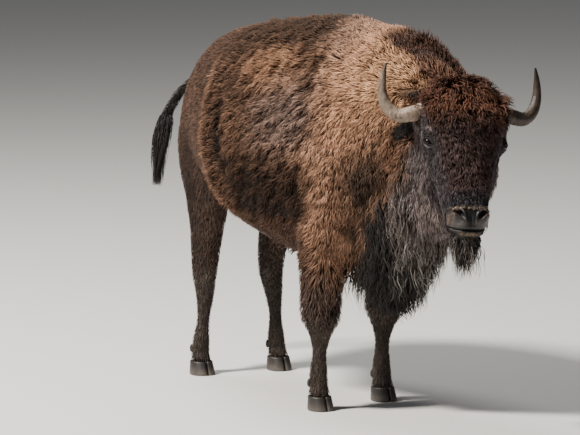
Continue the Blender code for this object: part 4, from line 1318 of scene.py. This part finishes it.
def eye_mesh(side_name):
    """A ball with a slightly raised clear front; its tint gives the pupil, iris and dark rim."""
    out = eye_places(np.zeros((1, 3)), side_name)[3]
    around = turns_of(48)
    polar = np.linspace(0.02, math.pi - 0.02, 40)[:, None]
    side = unit(np.cross((0, 0, 1.0), out))
    up = np.cross(out, side)
    radius = EYE_RADIUS * (1 + 0.045 * np.exp(-((polar / 0.50) ** 2)))
    points = (box_middle(f"eye_{side_name}") + out * (radius * np.cos(polar))[..., None]
              + side * (radius * np.sin(polar) * np.cos(around))[..., None]
              + up * (radius * np.sin(polar) * np.sin(around))[..., None])
    mesh = grid_mesh(f"eye_{side_name}", points)
    flat = np.vstack([points.reshape(-1, 3), points[0].mean(0), points[-1].mean(0)])
    a, b, _, _ = eye_places(flat, side_name)
    pupil = fall(0.8, 1.1, np.sqrt((a / PUPIL[0]) ** 2 + (b / PUPIL[1]) ** 2))
    iris = fall(*IRIS_EDGE, np.sqrt(a**2 + b**2))
    tint = np.array(EYE_DARK) + (np.array(EYE_IRIS) - EYE_DARK) * iris[:, None]
    return mesh, tint * (1 - 0.92 * pupil)[:, None]


def around_box(node_name, sides, stations):
    """A node's box as its low and high corners, and the angles and shares of the rings round it."""
    low, high = (np.array(corner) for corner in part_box(node_name))
    return low, high, turns_of(sides), stations[:, None]


def claw_mesh(node_name):
    """Half of a cloven hoof in its node's box: a half oval with a flat inner wall, stepped in upwards."""
    low, high, turn, share = around_box(node_name, 40, np.linspace(0, 1, 14))
    side = SIDES["left" if "left" in node_name else "right"]
    wall = -side if node_name.endswith("inner") else side
    foot = 1 - 0.05 * bump(share, 0.0, 0.10)
    length = (high[0] - low[0]) / 2 * (1 - 0.17 * share**1.2) * foot
    depth = (high[1] - low[1]) * (1 - 0.14 * share) * foot
    grooves = 1 + 0.008 * np.sin(share * 38)
    x = (low[0] + high[0]) / 2 - 0.011 * share + length * grooves * np.cos(turn)
    outside = np.abs(np.sin(turn)) ** 0.8
    base = high[1] if wall < 0 else low[1]
    y = base + wall * np.where(np.sin(turn) > 0, outside * depth * grooves, 0.0005)
    z = low[2] + (high[2] - low[2]) * share * np.ones_like(turn)
    return grid_mesh(node_name, np.stack([x, y, z], -1))


def dewclaw_mesh(node_name):
    """A small blunt cone hanging behind the fetlock, in its node's box."""
    low, high, turn, polar = around_box(node_name, 20, np.linspace(0.05, math.pi - 0.05, 14))
    middle, half = (low + high) / 2 + (0.009, 0, 0.002), (high - low) / 2 * (0.72, 0.80, 0.85)
    out = np.sin(polar) * (1 - 0.22 * (1 - np.cos(polar - math.pi)) / 2)
    ball = np.stack([out * np.cos(turn), out * np.sin(turn), np.cos(polar) * np.ones_like(turn)], -1)
    return grid_mesh(node_name, middle + half * ball)


# ---- settings
def colour_setting(name, value):
    """A colour property with its own name, description and default."""
    return bpy.props.FloatVectorProperty(
        name=name, description=f"Colour of the {name.lower()}", subtype="COLOR", size=3,
        min=0.0, max=1.0, default=value)


class BisonCoatSettings(bpy.types.PropertyGroup):
    """Colours and fullness of the coat."""
    rump: colour_setting("Rump", (0.094, 0.051, 0.034))
    thigh: colour_setting("Thigh", (0.068, 0.041, 0.030))
    barrel: colour_setting("Barrel", (0.090, 0.047, 0.028))
    belly: colour_setting("Belly", (0.060, 0.031, 0.019))
    mantle: colour_setting("Mantle", (0.410, 0.222, 0.131))
    # Partly the fur's own dark colour, partly painted shade on the neck's far side.
    crest: colour_setting("Neck crest", (0.050, 0.024, 0.016))
    throat: colour_setting("Throat mane", (0.022, 0.019, 0.018))
    mop: colour_setting("Mop of the crown", (0.122, 0.052, 0.030))
    forehead: colour_setting("Forehead", (0.071, 0.044, 0.040))
    face: colour_setting("Face", (0.056, 0.046, 0.050))
    jowl: colour_setting("Jowls", (0.205, 0.158, 0.150))
    muzzle: colour_setting("Muzzle", (0.022, 0.018, 0.018))
    chin: colour_setting("Beard", (0.028, 0.021, 0.019))
    ear: colour_setting("Ears", (0.020, 0.016, 0.015))
    chaps: colour_setting("Forearm hair", (0.097, 0.061, 0.048))
    shin: colour_setting("Lower legs", (0.056, 0.041, 0.033))
    dock: colour_setting("Tail", (0.018, 0.015, 0.013))
    fullness: bpy.props.FloatProperty(
        name="Fullness", description="Tufts grown, as a share of the full coat",
        default=1.0, min=0.05, max=1.0, subtype="FACTOR")


class BisonPartSettings(bpy.types.PropertyGroup):
    """Colours and sizes of the horns, hooves and tail."""
    horn_base: colour_setting("Horn base", (0.260, 0.190, 0.145))
    horn_middle: colour_setting("Horn middle", (0.168, 0.124, 0.093))
    horn_tip: colour_setting("Horn tip", (0.040, 0.032, 0.027))
    hoof: colour_setting("Hooves", (0.026, 0.022, 0.020))
    tail: colour_setting("Tail tuft", (0.016, 0.013, 0.011))
    horn_ridges: bpy.props.FloatProperty(
        name="Horn ridges", description="Height of the rings near the skull, in shares of the radius",
        default=0.010, min=0.0, max=0.1, subtype="FACTOR")
    tail_locks: bpy.props.IntProperty(
        name="Tail locks", description="Locks in the tail tuft", default=620, min=50, max=3000)


class BisonStageSettings(bpy.types.PropertyGroup):
    """Floor, light and camera."""
    floor: colour_setting("Floor", (0.66, 0.65, 0.63))
    key_power: bpy.props.FloatProperty(
        name="Key light", description="Power of the large lamp on the animal's right", default=2150.0,
        min=0.0, unit="POWER")
    fill: bpy.props.FloatProperty(
        name="Fill", description="Strength of the even light all round", default=0.135, min=0.0)
    distance: bpy.props.FloatProperty(
        name="Camera distance", description="From the camera to the animal", default=20.0, unit="LENGTH")
    lens: bpy.props.FloatProperty(
        name="Lens", description="Focal length in millimetres", default=307.2)


# ---- operators
class BISON_OT_skin(bpy.types.Operator):
    """Lays one skin inside the flesh nodes, with lids, nostrils, lips and ears."""
    bl_idname = "bison.skin"
    bl_label = "Skin"

    def execute(self, context):
        mesh = skin_mesh()
        points, corners, _ = corners_of(mesh)
        colours = coat_colours(context.scene.bison_coat)
        # Painted shade: the skin under the coat is darker than the hair over it.
        tint = markings(points, zone_shares(points), colours) * UNDERCOAT_SHADE
        bare = 1 - bare_parts(points)
        along = to_head(points)[2]
        paint(mesh, bare_tint(points, tint, bare * (along < 0.7)))
        body = new_object("skin", mesh, tinted_material("hide"))
        mesh.materials.append(tinted_material("nose_leather"))
        wet = (bare[corners].mean(1) > 0.5) & (along[corners].mean(1) > 0.4)
        mesh.polygons.foreach_set("material_index", wet.astype(np.int32))
        place(body, "coat_barrel", *FLESH, "ear_left", "ear_right")
        return {"FINISHED"}


def coat_colours(settings):
    """The zones' colours as rows, in the order of their shares."""
    return np.array([tuple(getattr(settings, zone)) for zone in ZONE_NAMES])


class BISON_OT_coat(bpy.types.Operator):
    """Grows the coat from the skin, as tufts that follow its lie."""
    bl_idname = "bison.coat"
    bl_label = "Coat"

    def execute(self, context):
        settings = context.scene.bison_coat
        coats = grow_coat(bpy.data.objects["skin"].data, coat_colours(settings), settings.fullness)
        hair = tinted_material("hair")
        for name, mesh in coats.items():
            slot, nodes = PIECES[name][4:]
            place(new_object(name, mesh, hair), slot, *nodes)
        return {"FINISHED"}


class BISON_OT_locks(bpy.types.Operator):
    """Hangs the long locks of the tail tuft."""
    bl_idname = "bison.locks"
    bl_label = "Tail tuft"

    def execute(self, context):
        settings = context.scene.bison_parts
        hair = tinted_material("long_hair")
        line = np.array(TUFT_LINE) + (*SHIFT, 0)
        above = line[:1] + (0.003, 0.006, 0.035, -0.010)
        line = np.vstack([above, line])
        tuft = tail_locks(line, settings.tail_locks, settings.tail)
        place(new_object("tail_hair", tuft, hair), "tail_hair", "tail_tuft")
        return {"FINISHED"}


class BISON_OT_horns(bpy.types.Operator):
    """Makes both horns, ridged and worn at the base and dark at the tip."""
    bl_idname = "bison.horns"
    bl_label = "Horns"

    def execute(self, context):
        settings = context.scene.bison_parts
        sheath = tinted_material("horn_sheath")
        for side_name, side in SIDES.items():
            mesh, share = horn_mesh(side, settings.horn_ridges)
            tint = horn_tint(mesh, share, settings.horn_base, settings.horn_middle, settings.horn_tip)
            # The left horn is darkened, partly as painted shade.
            paint(mesh, tint * HORN_SHADES[side_name])
            place(new_object(f"horn_{side_name}_sheath", mesh, sheath), "horn", f"horn_{side_name}")
        return {"FINISHED"}


class BISON_OT_eyes(bpy.types.Operator):
    """Makes both eyes: dark brown, with a level pupil under a clear, wet front."""
    bl_idname = "bison.eyes"
    bl_label = "Eyes"

    def execute(self, context):
        wet, shader = material("eye_wet", 0.14, 0.15, coat=0.06)
        shader.inputs["Coat Roughness"].default_value = 0.03
        colour = node(wet, "ShaderNodeAttribute", attribute_name="tint")
        wire(wet, colour.outputs["Color"], shader.inputs["Base Color"])
        for side_name in SIDES:
            mesh, tint = eye_mesh(side_name)
            paint(mesh, tint)
            place(new_object(f"eyeball_{side_name}", mesh, wet), "eye", f"eye_{side_name}")
        return {"FINISHED"}


class BISON_OT_hooves(bpy.types.Operator):
    """Makes the claws and dewclaws of all four feet."""
    bl_idname = "bison.hooves"
    bl_label = "Hooves"

    def execute(self, context):
        hoof = np.array(context.scene.bison_parts.hoof)
        shell = tinted_material("hoof_shell")
        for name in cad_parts:
            if "claw" not in name:
                continue
            mesh = dewclaw_mesh(name) if "dewclaw" in name else claw_mesh(name)
            points, _, _ = corners_of(mesh)
            dust = 0.45 * smooth(0.045, 0.0, points[:, 2])
            rough = 1 + 0.3 * layered(points, 0.02, 79)
            paint(mesh, (hoof + (CLAW_DUST - hoof) * dust[:, None]) * rough[:, None])
            place(new_object(f"{name}_shell", mesh, shell), "hoof", name)
        return {"FINISHED"}


def aim(body, target, way, far):
    """Sets a lamp or camera the given way and distance from the target, looking back at it."""
    body.location = target + way * far
    body.rotation_mode = "QUATERNION"
    body.rotation_quaternion = way.to_track_quat("Z", "Y")
    bpy.context.scene.collection.objects.link(body)


class BISON_OT_stage(bpy.types.Operator):
    """Makes the floor, the soft lights and the camera."""
    bl_idname = "bison.stage"
    bl_label = "Stage"

    def execute(self, context):
        scene = context.scene
        settings = scene.bison_stage
        corners = np.array([(-1, -1, 0), (1, -1, 0), (1, 1, 0), (-1, 1, 0)]) * FLOOR_HALF
        finish, shader = material("floor_paint", 0.85, 0.2)
        shader.inputs["Base Color"].default_value = (*settings.floor, 1)
        floor = new_object("floor", array_mesh("floor", corners, np.arange(4), [4]), finish)
        scene.world = bpy.data.worlds.new("studio")
        scene.world.use_nodes = True
        light = scene.world.node_tree.nodes["Background"]
        light.inputs["Color"].default_value = (*SKY, 1)
        light.inputs["Strength"].default_value = settings.fill
        target = Vector(SHIFT) + Vector(LOOK_AT)
        level = math.cos(VIEW_RISE)
        back = Vector((math.sin(VIEW_TURN) * level, -math.cos(VIEW_TURN) * level, math.sin(VIEW_RISE)))
        left = Vector((-math.cos(VIEW_TURN), -math.sin(VIEW_TURN), 0))
        # name: (steps back, left and up, distance, size, share of the key's power, colour)
        lamps = {
            "key": ((0.50, 0.95, 1.25), 9.0, 1.4, 1.0, (1.0, 0.95, 0.88)),
            "rim": ((-0.7, 0.35, 1.5), 9.0, 3.5, 0.25, (1.0, 0.97, 0.93)),
        }
        for name, (steps, far, size, share, colour) in lamps.items():
            lamp = bpy.data.objects.new(name, bpy.data.lights.new(name, "AREA"))
            lamp.data.size = size
            lamp.data.energy = settings.key_power * share
            lamp.data.color = colour
            way = back * steps[0] + left * steps[1] + Vector((0, 0, steps[2]))
            aim(lamp, target, way.normalized(), far)
        camera = bpy.data.objects.new("camera", bpy.data.cameras.new("camera"))
        camera.data.lens = settings.lens
        camera.data.sensor_width = 36.0
        camera.data.clip_end = 200.0
        aim(camera, target, back, settings.distance)
        scene.camera = camera
        return {"FINISHED"}


class BISON_PT_panel(bpy.types.Panel):
    """Lists the pieces and their settings."""
    bl_idname = "BISON_PT_panel"
    bl_label = "Bison cow"
    bl_space_type = "VIEW_3D"
    bl_region_type = "UI"
    bl_category = "Bison"

    def draw(self, context):
        for operator in OPERATORS:
            self.layout.operator(operator.bl_idname)
        for store in STORES:
            group = getattr(context.scene, store)
            box = self.layout.box()
            for name in group.bl_rna.properties.keys():
                if name not in ("rna_type", "name"):
                    box.prop(group, name)


OPERATORS = (BISON_OT_skin, BISON_OT_coat, BISON_OT_locks, BISON_OT_horns, BISON_OT_eyes,
             BISON_OT_hooves, BISON_OT_stage)
STORES = {                                    # name on the scene: settings kept there
    "bison_coat": BisonCoatSettings,
    "bison_parts": BisonPartSettings,
    "bison_stage": BisonStageSettings,
}
CLASSES = (*STORES.values(), *OPERATORS, BISON_PT_panel)


def register():
    for cls in CLASSES:
        bpy.utils.register_class(cls)
    for name, group in STORES.items():
        setattr(bpy.types.Scene, name, bpy.props.PointerProperty(type=group))


def unregister():
    for name in STORES:
        delattr(bpy.types.Scene, name)
    for cls in reversed(CLASSES):
        bpy.utils.unregister_class(cls)


def main():
    """Makes every piece in order."""
    register()
    bpy.ops.bison.skin()
    bpy.ops.bison.coat()
    bpy.ops.bison.locks()
    bpy.ops.bison.horns()
    bpy.ops.bison.eyes()
    bpy.ops.bison.hooves()
    bpy.ops.bison.stage()


if __name__ == "__main__":
    main()
